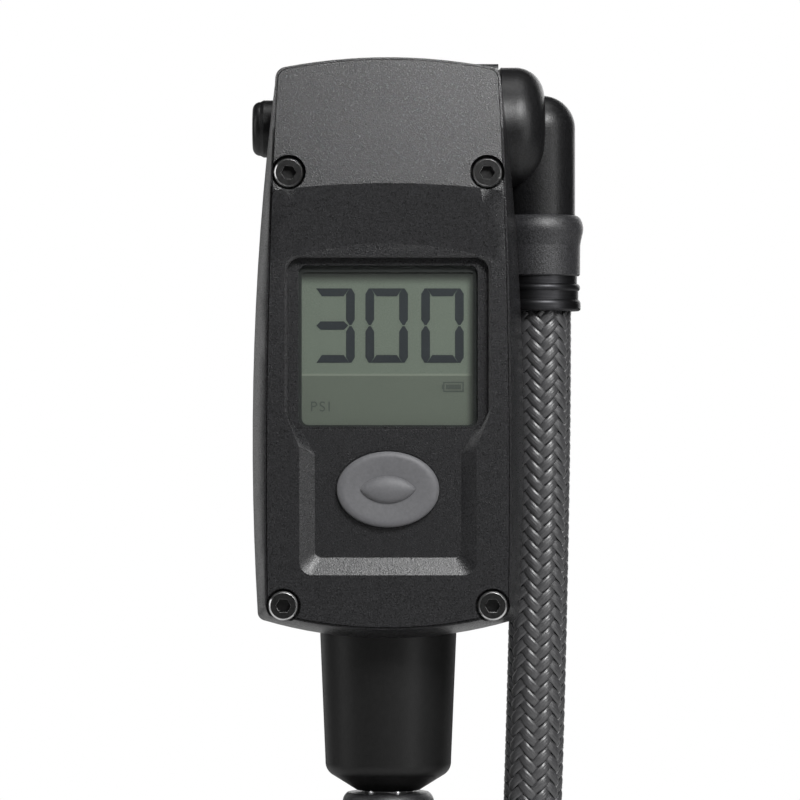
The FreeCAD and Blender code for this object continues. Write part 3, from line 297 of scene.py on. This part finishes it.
def black_oxide():
    """Blackened screws with a painted highlight: the edges, which are the faces neither square nor level
    to the screw's axis, are coloured bright in place of the light they catch."""

    def colour(t):
        normal = add(t, "ShaderNodeTexCoord").outputs["Normal"]
        facing = add(t, "ShaderNodeSeparateXYZ", {"Vector": normal})
        flat = add(t, "ShaderNodeMath", {0: facing.outputs["Y"]}, operation="ABSOLUTE").outputs[0]
        # Painted highlight: faces between square and level to the screw's axis get a bright grey instead of
        # the light their chamfers catch.
        edge = add(t, "ShaderNodeMath", {0: flat, 1: 0.62, 2: 0.34}, operation="COMPARE").outputs[0]
        dull = mixed(t, noise(t, 0.35 * MM, detail=3), grey(0.035), grey(0.09))
        return mixed(t, edge, dull, grey(0.62))

    return finish_of(
        "black_oxide",
        colour,
        lambda t: between(t, noise(t, 0.4 * MM, detail=3), 0.26, 0.42),
        lambda t: bumped(t, noise(t, 0.3 * MM), 0.006 * MM),
        Metallic=1.0,
    )


def polished_steel():
    """Bright polished steel rods, pins and springs."""
    return metal("polished_steel", grey(0.72, 0.01), grey(0.80, 0.01), 0.07, 0.14, ROUND_Z)


def black_metal():
    """Satin black anodised aluminium, a little scuffed."""
    low, high = grey(0.025, 0.03), grey(0.06, 0.03)
    return metal("black_metal", low, high, 0.36, 0.52, ROUND_Z, size=0.2 * MM, depth=0.012 * MM)


def brass():
    """Brass turned about the swivel's axis."""
    return metal("brass", (0.62, 0.43, 0.17, 1), (0.74, 0.54, 0.24, 1), 0.20, 0.34, ROUND_X)


def solder_mask():
    """The circuit board: green mask over fine traces, which run up the board."""

    def traces(t):
        return noise(t, 1.2 * MM, (1, 1, 0.2), detail=1)

    return finish_of(
        "solder_mask",
        lambda t: mixed(t, traces(t), (0.006, 0.07, 0.025, 1), (0.012, 0.12, 0.05, 1)),
        lambda t: between(t, noise(t, 0.6 * MM), 0.22, 0.35),
        lambda t: bumped(t, traces(t), 0.01 * MM),
    )


BAND_HEIGHT = HEAD_BASE + 39.8 * MM
BAND_LINE = 0.16 * MM
# How far the painted shade on the display reaches in from the window's top and right edges: dark up to the
# first distance, gone at the second.
TOP_SHADE = (2.2 * MM, 4.1 * MM)
RIGHT_SHADE = (1.5 * MM, 2.9 * MM)


def painted_border_shade(tree):
    """A mask for the painted shade: 1 on the display's open face, falling to 0 in the shade painted under
    its top and right edges. A painted shade is dark up to its first distance from the window's edge, and
    gone at its second."""
    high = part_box("window_lens")[1]
    parts = add(tree, "ShaderNodeSeparateXYZ", {"Vector": place(tree)}).outputs
    edges = ((parts["Z"], high.z, *TOP_SHADE), (parts["X"], high.x, *RIGHT_SHADE))
    shades = [
        add(
            tree,
            "ShaderNodeMapRange",
            {"Value": along, "From Min": edge - near, "From Max": edge - far, "To Min": 0.0, "To Max": 1.0},
            interpolation_type="SMOOTHSTEP",
        ).outputs[0]
        for along, edge, near, far in edges
    ]
    return add(tree, "ShaderNodeMath", {0: shades[0], 1: shades[1]}, operation="MULTIPLY").outputs[0]


def liquid_crystal():
    """The display's grey-green reflector. The band below the digits is smoother in tone, with a light line
    along its top, and shade is painted on the face under its top and right edges."""

    def colour(t):
        height = add(t, "ShaderNodeSeparateXYZ", {"Vector": place(t)}).outputs["Z"]
        above = add(t, "ShaderNodeMath", {0: height, 1: BAND_HEIGHT}, operation="GREATER_THAN").outputs[0]
        line = {0: height, 1: BAND_HEIGHT, 2: BAND_LINE}
        from_line = add(t, "ShaderNodeMath", line, operation="COMPARE").outputs[0]
        fine = noise(t, 0.16 * MM, detail=3, roughness=0.7)
        upper = mixed(t, fine, (0.03, 0.04, 0.03, 1), (0.22, 0.235, 0.20, 1))
        lower = mixed(t, fine, (0.06, 0.065, 0.055, 1), (0.14, 0.15, 0.125, 1))
        face = mixed(t, from_line, mixed(t, above, lower, upper), (0.17, 0.18, 0.15, 1))
        # Painted shade: the face turns near-black under the window's top and right edges, where the bezel's
        # shadow falls.
        return mixed(t, painted_border_shade(t), (0.02, 0.02, 0.018, 1), face)

    return finish_of(
        "liquid_crystal",
        colour,
        lambda t: between(t, noise(t, 0.3 * MM), 0.35, 0.5),
        lambda t: grained(t, 0.2 * MM, 0.004 * MM),
    )


def segment_ink():
    """A switched-on segment."""
    return finish_of(
        "segment_ink",
        lambda t: mixed(t, noise(t, 0.3 * MM), (0.012, 0.014, 0.018, 1), (0.022, 0.024, 0.030, 1)),
        lambda t: between(t, noise(t, 0.3 * MM), 0.4, 0.5),
    )


def faint_ink():
    """The fainter ink of the small signs."""
    return finish_of(
        "faint_ink",
        lambda t: mixed(t, noise(t, 0.3 * MM), (0.045, 0.050, 0.045, 1), (0.065, 0.070, 0.062, 1)),
        lambda t: between(t, noise(t, 0.3 * MM), 0.4, 0.5),
    )


def clear_window():
    """A hard-coated clear pane: it lets light through and mirrors a little of it, more at a slant."""
    made = bpy.data.materials.new("clear_window")
    made.use_nodes = True
    tree = made.node_tree
    tree.nodes.remove(tree.nodes["Principled BSDF"])
    clear = add(tree, "ShaderNodeBsdfTransparent", {"Color": (0.93, 0.95, 0.94, 1)})
    scuffed = between(tree, noise(tree, 1.5 * MM, detail=4), 0.02, 0.07)
    mirror = add(tree, "ShaderNodeBsdfGlossy", {"Color": (1, 1, 1, 1), "Roughness": scuffed})
    slant = add(tree, "ShaderNodeLayerWeight", {"Blend": 0.5}).outputs["Facing"]
    steep = add(tree, "ShaderNodeMath", {0: slant, 1: 5.0}, operation="POWER").outputs[0]
    share = between(tree, steep, 0.035, 1.0)
    both = add(tree, "ShaderNodeMixShader", {0: share, 1: clear.outputs[0], 2: mirror.outputs[0]})
    tree.links.new(both.outputs[0], tree.nodes["Material Output"].inputs["Surface"])
    return made


def hose_core():
    """The dark liner seen between the strands."""
    return finish_of(
        "hose_core",
        lambda t: mixed(t, noise(t, 0.4 * MM), grey(0.006), grey(0.012)),
        lambda t: between(t, noise(t, 0.4 * MM), 0.5, 0.7),
    )


def braid_yarn():
    """Shiny dark-grey filaments. The strand's own map has across it in U and along it in V."""

    def across(t):
        return add(t, "ShaderNodeUVMap", uv_map="strand").outputs[0]

    def threads(t):
        lines = add(t, "ShaderNodeMapping", {"Vector": across(t), "Scale": (26, 900, 1)})
        return add(
            t, "ShaderNodeTexNoise", {"Vector": lines.outputs[0], "Scale": 1.0, "Detail": 2.0}
        ).outputs["Fac"]

    return finish_of(
        "braid_yarn",
        lambda t: mixed(t, threads(t), grey(0.006, 0.02), grey(0.075, 0.02)),
        lambda t: between(t, threads(t), 0.26, 0.44),
        lambda t: bumped(t, threads(t), 0.03 * MM),
        Specular_IOR_Level=0.8,
        Sheen_Weight=0.08,
        Sheen_Roughness=0.35,
    )


MATERIALS = {
    make.__name__: make()
    for make in (
        moulded_plastic, smooth_plastic, inner_plastic, soft_rubber, dark_rubber, seal_rubber, key_rubber,
        dark_anodised, turned_aluminium, plated_steel, black_oxide, polished_steel, black_metal, brass,
        solder_mask, liquid_crystal, segment_ink, faint_ink, clear_window, hose_core, braid_yarn,
    )
}

NODE_FINISHES = {
    "moulded_plastic": "rear_housing front_cover handle_top hose_dock",
    "smooth_plastic": "swivel_elbow bleed_button",
    "inner_plastic": "lcd_frame button_switch switch_plunger",
    "soft_rubber": "foot_cap handle_grip bumper_ring hose_collar",
    "dark_rubber": "barrel_collar",
    "seal_rubber": "piston_seal cover_gasket contact_strips sensor_seal barrel_seal gland_wiper "
    "bleed_o_ring spigot_seals chuck_gasket",
    "key_rubber": "mode_button",
    "dark_anodised": "handle_tube",
    "turned_aluminium": "piston valve_block pump_barrel chuck_body",
    "plated_steel": "rod_lock_nut piston_screw board_screws coin_cell pressure_sensor",
    "black_oxide": "dock_screw cover_screws block_screws",
    "polished_steel": "piston_rod cell_clip check_spring bleed_pin bleed_spring spigot_pins",
    "black_metal": "crimp_rings lower_ferrule chuck_sleeve",
    "brass": "rod_gland check_seat check_poppet bleed_sleeve swivel_spigot hose_barb chuck_pin",
    "solder_mask": "circuit_board",
    "liquid_crystal": "lcd_panel",
    "clear_window": "window_lens",
    "hose_core": "hose",
}


def dress_nodes():
    """Gives every CAD node its finish."""
    for finish, names in NODE_FINISHES.items():
        for name in names.split():
            slots = cad_nodes[name].data.materials
            slots.clear()
            slots.append(MATERIALS[finish])


# ---- Meshes worked out with numpy ----
def piece_of(name, points, faces, material, body, smooth=True):
    """An object from points and faces, its faces turned outwards, riding on a body."""
    mesh = bpy.data.meshes.new(name)
    mesh.from_pydata(points.tolist(), [], faces)
    work = bmesh.new()
    work.from_mesh(mesh)
    bmesh.ops.recalc_face_normals(work, faces=work.faces)
    work.to_mesh(mesh)
    work.free()
    mesh.polygons.foreach_set("use_smooth", [smooth] * len(mesh.polygons))
    mesh.materials.append(MATERIALS[material])
    made = bpy.data.objects.new(name, mesh)
    bpy.context.scene.collection.objects.link(made)
    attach(made, body)
    return made


def shell_faces(shells, rows, around):
    """Faces of closed shells, each a stack of rings whose ends are closed by a middle point. The
    ring points come first, shell by shell, and then the two middle points of each shell."""
    index = np.arange(shells * rows * around).reshape(shells, rows, around)
    right = np.roll(index, -1, axis=2)
    quads = np.stack([index[:, :-1], right[:, :-1], right[:, 1:], index[:, 1:]], axis=-1)
    poles = index.size + np.arange(shells * 2).reshape(shells, 2, 1)
    tips = []
    for end, row in ((0, 0), (1, -1)):
        pole = np.broadcast_to(poles[:, end], (shells, around))
        tips.append(np.stack([index[:, row], right[:, row], pole], axis=-1).reshape(-1, 3))
    return quads.reshape(-1, 4).tolist() + np.concatenate(tips).tolist()


def shell_points(grids):
    """The points that go with shell_faces, from grids of [shell, row, around, xyz]."""
    poles = grids[:, [0, -1]].mean(axis=2)
    return np.concatenate([grids.reshape(-1, 3), poles.reshape(-1, 3)])


def shells(name, grids, material, body, slot):
    """An object of closed shells, from grids of [shell, row, around, xyz]."""
    count, rows, around, _ = grids.shape
    return piece_of(name, shell_points(grids), shell_faces(count, rows, around), material, body)


# ---- Hose ----
# Share of the hose's drop, and share of its lean towards the handle, at each point of its route.
HOSE_ROUTE = [
    (0.0, 0.0),
    (0.12, 0.0),
    (0.30, 0.15),
    (0.47, 0.34),
    (0.635, 0.585),
    (0.79, 0.85),
    (0.905, 1.0),
    (1.0, 1.0),
]
CARRIERS = 12
BRAID_LEAD = 24.6 * MM
BRAID_RADIUS = 3.98 * MM
BRAID_LIFT = 0.26 * MM
STRAND_WIDTH = 1.46 * MM
STRAND_THICK = 0.62 * MM
CORE_RADIUS = 3.66 * MM
HOSE_STEPS = 400
STRAND_POINTS = 13
CROSSINGS = 2 * CARRIERS
FIRST_TURN = math.radians(7.5)
WEAVE_PERIOD = 4
WEAVE_SHIFT = 0.5
FLATTENING = 1.35
NARROWING = 0.10
RIPPLE = 0.10
ROUNDING = 0.97
INNER_ARCH = 0.7


def hose_line():
    """The smooth line that the hose follows, from its top end, as evenly spaced points."""
    curve = bpy.data.curves.new("hose_route", "CURVE")
    curve.dimensions = "3D"
    curve.resolution_u = 32
    spline = curve.splines.new("NURBS")
    spline.points.add(len(HOSE_ROUTE) - 1)
    for point, (fallen, leant) in zip(spline.points, HOSE_ROUTE):
        x = ARM_X + (CHUCK_X - ARM_X) * leant
        z = HOSE_TOP + (HOSE_BOTTOM - HOSE_TOP) * fallen
        point.co = (x, 0, z, 1)
    spline.order_u = 3
    spline.use_endpoint_u = True
    holder = bpy.data.objects.new("hose_route", curve)
    mesh = bpy.data.meshes.new_from_object(holder)
    line = np.array([v.co for v in mesh.vertices])
    along = np.concatenate([[0], np.cumsum(np.linalg.norm(np.diff(line, axis=0), axis=1))])
    steps = np.linspace(0, along[-1], HOSE_STEPS)
    bpy.data.meshes.remove(mesh)
    bpy.data.curves.remove(curve)
    return np.stack([np.interp(steps, along, line[:, k]) for k in range(3)], axis=1), steps


def unit(vectors):
    """Vectors of length 1 in the same directions."""
    return vectors / np.linalg.norm(vectors, axis=-1, keepdims=True)


def hose_frame(line):
    """Two directions square to the line at each point: in its plane, to the right, and back."""
    ahead = unit(np.gradient(line, axis=0))
    back = np.broadcast_to([0.0, 1.0, 0.0], line.shape)
    return unit(np.cross(ahead, back)) * -1, back


def strands(line, along, way):
    """Half of the braid: CARRIERS strands that wind one way. A strand is at the angle
    way * 2 pi * along / lead + its own share of a turn. Its distance from the hose's line rises and
    falls as a flattened cosine, two crossings over and two under. Its section is half of an ellipse
    with shallow ripples on its outer side, and a flatter arch on its inner side. A strand is a
    little narrower where it passes under."""
    right, back = hose_frame(line)
    own = np.arange(CARRIERS)[:, None] / CARRIERS
    crossing = CROSSINGS * along[None, :] / BRAID_LEAD
    turn = 2 * math.pi * (way * along[None, :] / BRAID_LEAD + own) + FIRST_TURN
    phase = way * crossing + CROSSINGS * own - WEAVE_SHIFT
    wave = way * np.cos(phase / WEAVE_PERIOD * 2 * math.pi)
    lift = np.clip(FLATTENING * wave, -1, 1)
    distance = BRAID_RADIUS + BRAID_LIFT * lift
    out = np.cos(turn)[..., None] * right + np.sin(turn)[..., None] * back
    centre = line + distance[..., None] * out
    ahead = unit(np.gradient(centre, axis=1))
    across = unit(np.cross(ahead, out))
    out = np.cross(across, ahead)
    share = np.linspace(-1, 1, STRAND_POINTS)
    returning = share[1:-1:3][::-1]
    ripples = (1 + RIPPLE * np.cos(share * 4 * math.pi)) / (1 + RIPPLE)
    outer = np.sqrt(1 - ROUNDING * share**2) * ripples
    inner = -INNER_ARCH * np.sqrt(1 - ROUNDING * returning**4)
    section_u = np.concatenate([share, returning])
    section_v = np.concatenate([outer, inner])
    width = STRAND_WIDTH / 2 * (1 - NARROWING * np.clip(-wave, 0, 1))
    grid = centre[:, :, None] + across[:, :, None] * (width[..., None] * section_u)[..., None]
    grid = grid + out[:, :, None] * (STRAND_THICK / 2 * section_v)[None, None, :, None]
    return grid, section_u


def add_strand_map(piece, grid, section_u, along):
    """The strand map: U runs across a strand from 0 to 1, and V along it in metres, with a step
    from strand to strand so that no two look the same."""
    count, rows, around, _ = grid.shape
    u = np.broadcast_to((section_u + 1) / 2, (count, rows, around))
    v = np.broadcast_to(along[None, :, None] + np.arange(count)[:, None, None] * 0.3, (count, rows, around))
    points = np.stack([u, v], axis=-1).reshape(-1, 2)
    points = np.concatenate([points, np.zeros((count * 2, 2))])
    loops = np.zeros(len(piece.data.loops), np.int32)
    piece.data.loops.foreach_get("vertex_index", loops)
    piece.data.uv_layers.new(name="strand").data.foreach_set("uv", points[loops].astype(np.float32).ravel())


def make_hose():
    """A dark liner and two sets of strands, woven two over and two under."""
    line, along = hose_line()
    right, back = hose_frame(line)
    turn = np.linspace(0, 2 * math.pi, 33)[:-1]
    ring = np.cos(turn)[:, None] * right[:, None] + np.sin(turn)[:, None] * back[:, None]
    liner = (line[:, None] + CORE_RADIUS * ring)[None, ::4]
    hose = shells("hose_liner", liner, "hose_core", "hose_arm", "braided_hose")
    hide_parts("hose")
    for name, way in (("hose_braid_left", 1), ("hose_braid_right", -1)):
        grid, section_u = strands(line, along, way)
        braid = shells(name, grid, "braid_yarn", "hose_arm", "braided_hose")
        add_strand_map(braid, grid, section_u, along)


# ---- Mode button ----
def make_mode_button():
    """The oval key. Its face is dished inside a rounded rim, its sides run back to a flange behind
    the cover, and a round stem stands behind that. Each ring is x = half width * cos,
    z = half height * sin, and the dish's depth is (1 - share of the way out squared) to the
    power 1.5."""
    low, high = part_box("mode_button")
    centre_x, centre_z = (low.x + high.x) / 2, (low.z + high.z) / 2
    grow = 0.9 * MM
    half_x, half_z = (high.x - low.x) / 2 - grow, (high.z - low.z) / 2 - grow
    front, stem_back = low.y, high.y
    edge = 0.85 * MM
    dish = 0.30 * MM
    hub = 0.02
    reach = (1 - hub) * (1 - edge / half_z)
    share = np.linspace(0, 1, 40)
    face = [(hub + s * reach, front + dish * (1 - s**2) ** 1.5) for s in share]
    quarter = np.linspace(0, math.pi / 2, 9)[1:]
    rim = [
        (1 - edge / half_z * (1 - math.sin(q)), front + edge * 0.8 * (1 - math.cos(q))) for q in quarter
    ]
    flange_y = front + 2.75 * MM
    flange_back = flange_y + 0.65 * MM
    stem = 1.8 * MM
    rows = [(half_x * k, half_z * k, y) for k, y in face + rim]
    rows += [
        (half_x, half_z, flange_y),
        (half_x + grow, half_z + grow, flange_y),
        (half_x + grow, half_z + grow, flange_back),
        (stem, stem, flange_back),
        (stem, stem, stem_back),
    ]
    turn = np.linspace(0, 2 * math.pi, 97)[:-1]
    grid = np.array([
        np.stack([centre_x + a * np.cos(turn), np.full_like(turn, y), centre_z + b * np.sin(turn)], axis=-1)
        for a, b, y in rows
    ])
    key = shells("mode_key_cap", grid[None], "key_rubber", "mode_key", "grey_rubber")
    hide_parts("mode_button")
    make_key_mark((centre_x, front + dish, centre_z))


def make_key_mark(centre):
    """The raised almond: x = -half length * cos(u), its half height falls to nothing at the ends
    as 1 - (x / half length) squared, to the power 0.75, and its section is half of an ellipse above
    the key's face, with a shallower half sunk into it."""
    x0, y0, z0 = centre
    half_length, half_height = 4.15 * MM, 2.05 * MM
    rise, sunk = 1.15 * MM, 0.3 * MM
    tip = 0.04
    u = np.linspace(tip, math.pi - tip, 65)[:, None]
    v = np.linspace(0, 2 * math.pi, 49)[:-1][None, :]
    x = -half_length * np.cos(u)
    fall = (1 - (x / half_length) ** 2) ** 0.75
    z = half_height * fall * np.cos(v)
    up = np.where(np.sin(v) > 0, rise, sunk) * np.sqrt(fall) * np.sin(v)
    grid = np.stack([x0 + x + 0 * v, y0 - up, z0 + z], axis=-1)
    shells("mode_key_mark", grid[None], "key_rubber", "mode_key", "grey_rubber")


# ---- Display ----
INK_THICK = 0.05 * MM
DIGIT_HIGH = HEAD_BASE + 52.8 * MM
DIGIT_LOW = HEAD_BASE + 41.6 * MM
DIGIT_WIDTH = 6.4 * MM
DIGIT_LEFTS = (-11.4 * MM, -3.4 * MM, 5.0 * MM)
STROKE = 1.32 * MM
BAR = 1.18 * MM
GAP = 0.16 * MM


def plates(name, outlines, material):
    """Thin plates on the display's front, from outlines of (x, z) points."""
    points, faces = [], []
    for outline in outlines:
        start, count = len(points), len(outline)
        for y in (PANEL_FRONT - INK_THICK, PANEL_FRONT):
            points += [(x, y, z) for x, z in outline]
        faces.append([start + k for k in range(count)])
        faces.append([start + count + k for k in reversed(range(count))])
        for k in range(count):
            after = (k + 1) % count
            faces.append([start + k, start + count + k, start + count + after, start + after])
    return piece_of(name, np.array(points), faces, material, "head", smooth=False)


def upright_segment(x, low, high):
    """An upright stroke with pointed ends."""
    tip, side = STROKE * 0.12, STROKE / 2
    shoulder = STROKE * 0.62
    return [
        (x - tip, low), (x + tip, low), (x + side, low + shoulder), (x + side, high - shoulder),
        (x + tip, high), (x - tip, high), (x - side, high - shoulder), (x - side, low + shoulder),
    ]


def end_bar(left, right, outer, inner):
    """The bar at a digit's top or bottom, longer on its outer side."""
    slant = BAR * 0.72
    return [(left, outer), (right, outer), (right - slant, inner), (left + slant, inner)]


def middle_bar(left, right, z):
    """The bar across a digit's waist, pointed at both ends."""
    half = BAR * 0.54
    return [
        (left, z), (left + half, z - half), (right - half, z - half),
        (right, z), (right - half, z + half), (left + half, z + half),
    ]


def digit(left, hollow):
    """A nought, or a three where hollow is False."""
    right = left + DIGIT_WIDTH
    waist = (DIGIT_LOW + DIGIT_HIGH) / 2
    bar_left, bar_right = left + STROKE * 0.5 + GAP, right - STROKE * 0.5 - GAP
    if not hollow:
        bar_left = left + STROKE * 0.45
    outlines = [
        end_bar(bar_left, bar_right, DIGIT_HIGH, DIGIT_HIGH - BAR),
        end_bar(bar_left, bar_right, DIGIT_LOW, DIGIT_LOW + BAR),
    ]
    uprights = [right - STROKE / 2] + ([left + STROKE / 2] if hollow else [])
    for x in uprights:
        outlines.append(upright_segment(x, DIGIT_LOW, waist - GAP / 2))
        outlines.append(upright_segment(x, waist + GAP / 2, DIGIT_HIGH))
    if not hollow:
        outlines.append(middle_bar(bar_left, right - STROKE * 0.75, waist))
    return outlines


def rectangle(left, right, low, high):
    """The four corners of an upright rectangle."""
    return [(left, low), (right, low), (right, high), (left, high)]


def make_battery_sign():
    """An outline with a nub on its left and a full bar inside."""
    left, right = 8.3 * MM, 11.4 * MM
    low, high = HEAD_BASE + 37.2 * MM, HEAD_BASE + 38.75 * MM
    line, inset = 0.2 * MM, 0.42 * MM
    waist = (low + high) / 2
    plates("battery_sign", [
        rectangle(left, right, low, low + line),
        rectangle(left, right, high - line, high),
        rectangle(left, left + line, low + line, high - line),
        rectangle(right - line, right, low + line, high - line),
        rectangle(left + inset, right - inset, low + inset, high - inset),
        rectangle(left - line, left, waist - line * 1.7, waist + line * 1.7),
    ], "faint_ink")


def make_unit_sign():
    """The gauge's unit, in plain capitals, as a mesh in its place."""
    text = bpy.data.curves.new("unit_text", "FONT")
    text.body = "PSI"
    text.size = 2.15 * MM
    text.extrude = INK_THICK / 2
    text.space_character = 1.25
    holder = bpy.data.objects.new("unit_text", text)
    mesh = bpy.data.meshes.new_from_object(holder)
    flat = np.array([v.co for v in mesh.vertices])
    left, low = -11.75 * MM, HEAD_BASE + 34.3 * MM
    depth = PANEL_FRONT - INK_THICK / 2 - flat[:, 2]
    points = np.stack([left + flat[:, 0], depth, low + flat[:, 1]], axis=1)
    faces = [list(p.vertices) for p in mesh.polygons]
    bpy.data.meshes.remove(mesh)
    bpy.data.curves.remove(text)
    made = piece_of("unit_sign", points, faces, "faint_ink", "head", smooth=False)
    work = bmesh.new()
    work.from_mesh(made.data)
    bmesh.ops.remove_doubles(work, verts=work.verts, dist=1e-7)
    bmesh.ops.recalc_face_normals(work, faces=work.faces)
    work.to_mesh(made.data)
    work.free()


def make_display():
    """Three digits, the battery sign and the unit, as thin plates of ink."""
    outlines = []
    for left, hollow in zip(DIGIT_LEFTS, (False, True, True)):
        outlines += digit(left, hollow)
    plates("display_digits", outlines, "segment_ink")
    make_battery_sign()
    make_unit_sign()


# ---- Springs ----
SPRING_WIRE = 0.3 * MM


def coil(name, node, axis, turns):
    """A helix that fills a CAD node's box: its middle line is at the box's radius less half the
    wire, and it climbs evenly over the given turns."""
    wire = SPRING_WIRE
    low, high = (np.array(corner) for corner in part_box(node))
    other = (axis + 1) % 3
    third = (axis + 2) % 3
    centre = (low + high) / 2
    radius = (high[other] - low[other]) / 2 - wire / 2
    u = np.linspace(0, 1, int(turns * 24) + 1)
    turn = 2 * math.pi * turns * u
    line = np.zeros((len(u), 3))
    line[:, axis] = low[axis] + wire / 2 + (high[axis] - low[axis] - wire) * u
    line[:, other] = centre[other] + radius * np.cos(turn)
    line[:, third] = centre[third] + radius * np.sin(turn)
    out = np.zeros_like(line)
    out[:, other], out[:, third] = np.cos(turn), np.sin(turn)
    side = unit(np.cross(unit(np.gradient(line, axis=0)), out))
    around = np.linspace(0, 2 * math.pi, 13)[:-1]
    ring = np.cos(around)[:, None] * out[:, None] + np.sin(around)[:, None] * side[:, None]
    grid = (line[:, None] + wire / 2 * ring)[None]
    made = shells(name, grid, "polished_steel", "head", "polished_steel")
    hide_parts(node)
    return made, low, high


def make_springs():
    """The two coils, each with a mesh of its own."""
    bleed, low, high = coil("bleed_coil", "bleed_spring", axis=0, turns=4.5)
    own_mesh(bleed)
    check, low, high = coil("check_coil", "check_spring", axis=2, turns=6)
    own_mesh(check)


# ---- Edges of CAD nodes ----
SHARP_ANGLE = math.radians(32)
WELD_REACH = 0.001 * MM


def soften(names, width):
    """Rounds the sharp edges of CAD nodes with modifiers, so that they catch the light."""
    for name in names.split():
        node = cad_nodes[name]
        weld = node.modifiers.new("weld", "WELD")
        weld.merge_threshold = WELD_REACH
        bevel = node.modifiers.new("edges", "BEVEL")
        bevel.width = width
        bevel.segments = 2
        bevel.limit_method = "ANGLE"
        bevel.angle_limit = SHARP_ANGLE
        bevel.harden_normals = True


# ---- Stage ----
AIM = Vector((0, 0, HEAD_BASE + 40 * MM))
FLOOR_HALF = 0.55
SURROUND_LOW = 0.03
SURROUND_SOFT = 0.30


def softbox(name, azimuth, height, distance, size, power):
    """A rectangular light that looks at the head. azimuth is in degrees, to the right of straight
    ahead, and height in degrees above level."""
    turn, rise = math.radians(azimuth), math.radians(height)
    towards = Vector((math.sin(turn) * math.cos(rise), -math.cos(turn) * math.cos(rise), math.sin(rise)))
    data = bpy.data.lights.new(name, "AREA")
    data.shape = "RECTANGLE"
    data.size, data.size_y = size
    data.energy = power
    light = bpy.data.objects.new(name, data)
    light.location = AIM + towards * distance
    light.rotation_euler = towards.to_track_quat("Z", "Y").to_euler()
    light.visible_camera = False
    bpy.context.scene.collection.objects.link(light)


def make_floor():
    """A pale, matte paper floor."""
    half = FLOOR_HALF
    mesh = bpy.data.meshes.new("floor")
    corners = [(-half, -half, 0), (half, -half, 0), (half, half, 0), (-half, half, 0)]
    mesh.from_pydata(corners, [], [(0, 1, 2, 3)])
    mesh.materials.append(finish_of(
        "floor_paper",
        lambda t: mixed(t, noise(t, 0.02), (0.60, 0.60, 0.60, 1), (0.64, 0.64, 0.64, 1)),
        0.8,
    ))
    floor = bpy.data.objects.new("floor", mesh)
    bpy.context.scene.collection.objects.link(floor)


def make_surround():
    """A white surround. The camera sees it at full strength, matte surfaces get some light from it,
    and glossy ones reflect only a trace of it."""
    world = bpy.data.worlds.new("surround")
    world.use_nodes = True
    bpy.context.scene.world = world
    tree = world.node_tree
    path = add(tree, "ShaderNodeLightPath").outputs
    soft = between(tree, path["Is Diffuse Ray"], SURROUND_LOW, SURROUND_SOFT)
    seen = {0: soft, 1: path["Is Camera Ray"]}
    bright = add(tree, "ShaderNodeMath", seen, operation="MAXIMUM").outputs[0]
    tree.links.new(bright, tree.nodes["Background"].inputs["Strength"])
    tree.nodes["Background"].inputs["Color"].default_value = (1, 1, 1, 1)


def make_lights():
    """A main light in front, above and a little to the right, and weaker ones overhead, on both
    sides and behind."""
    softbox("key", azimuth=20, height=37, distance=0.40, size=(0.16, 0.13), power=2.1)
    softbox("overhead", azimuth=0, height=84, distance=0.30, size=(0.24, 0.12), power=0.3)
    softbox("strip_left", azimuth=-82, height=14, distance=0.40, size=(0.12, 0.40), power=0.4)
    softbox("behind_left", azimuth=-147, height=5, distance=0.50, size=(0.20, 0.30), power=0.13)
    softbox("fill_right", azimuth=44, height=8, distance=0.40, size=(0.05, 0.30), power=0.35)
    softbox("fill_behind", azimuth=165, height=12, distance=0.80, size=(0.60, 0.40), power=1.8)


def make_stage():
    """The floor, the surround and the lights."""
    make_floor()
    make_surround()
    make_lights()
    bpy.context.scene.view_settings.view_transform = "Standard"


# ---- Everything ----
make_camera()
make_hose()
dress_nodes()
make_mode_button()
make_display()
make_springs()
soften("front_cover rear_housing", 0.14 * MM)
soften("cover_screws", 0.12 * MM)
soften("hose_dock foot_cap handle_top lower_ferrule chuck_body block_screws", 0.15 * MM)
make_stage()
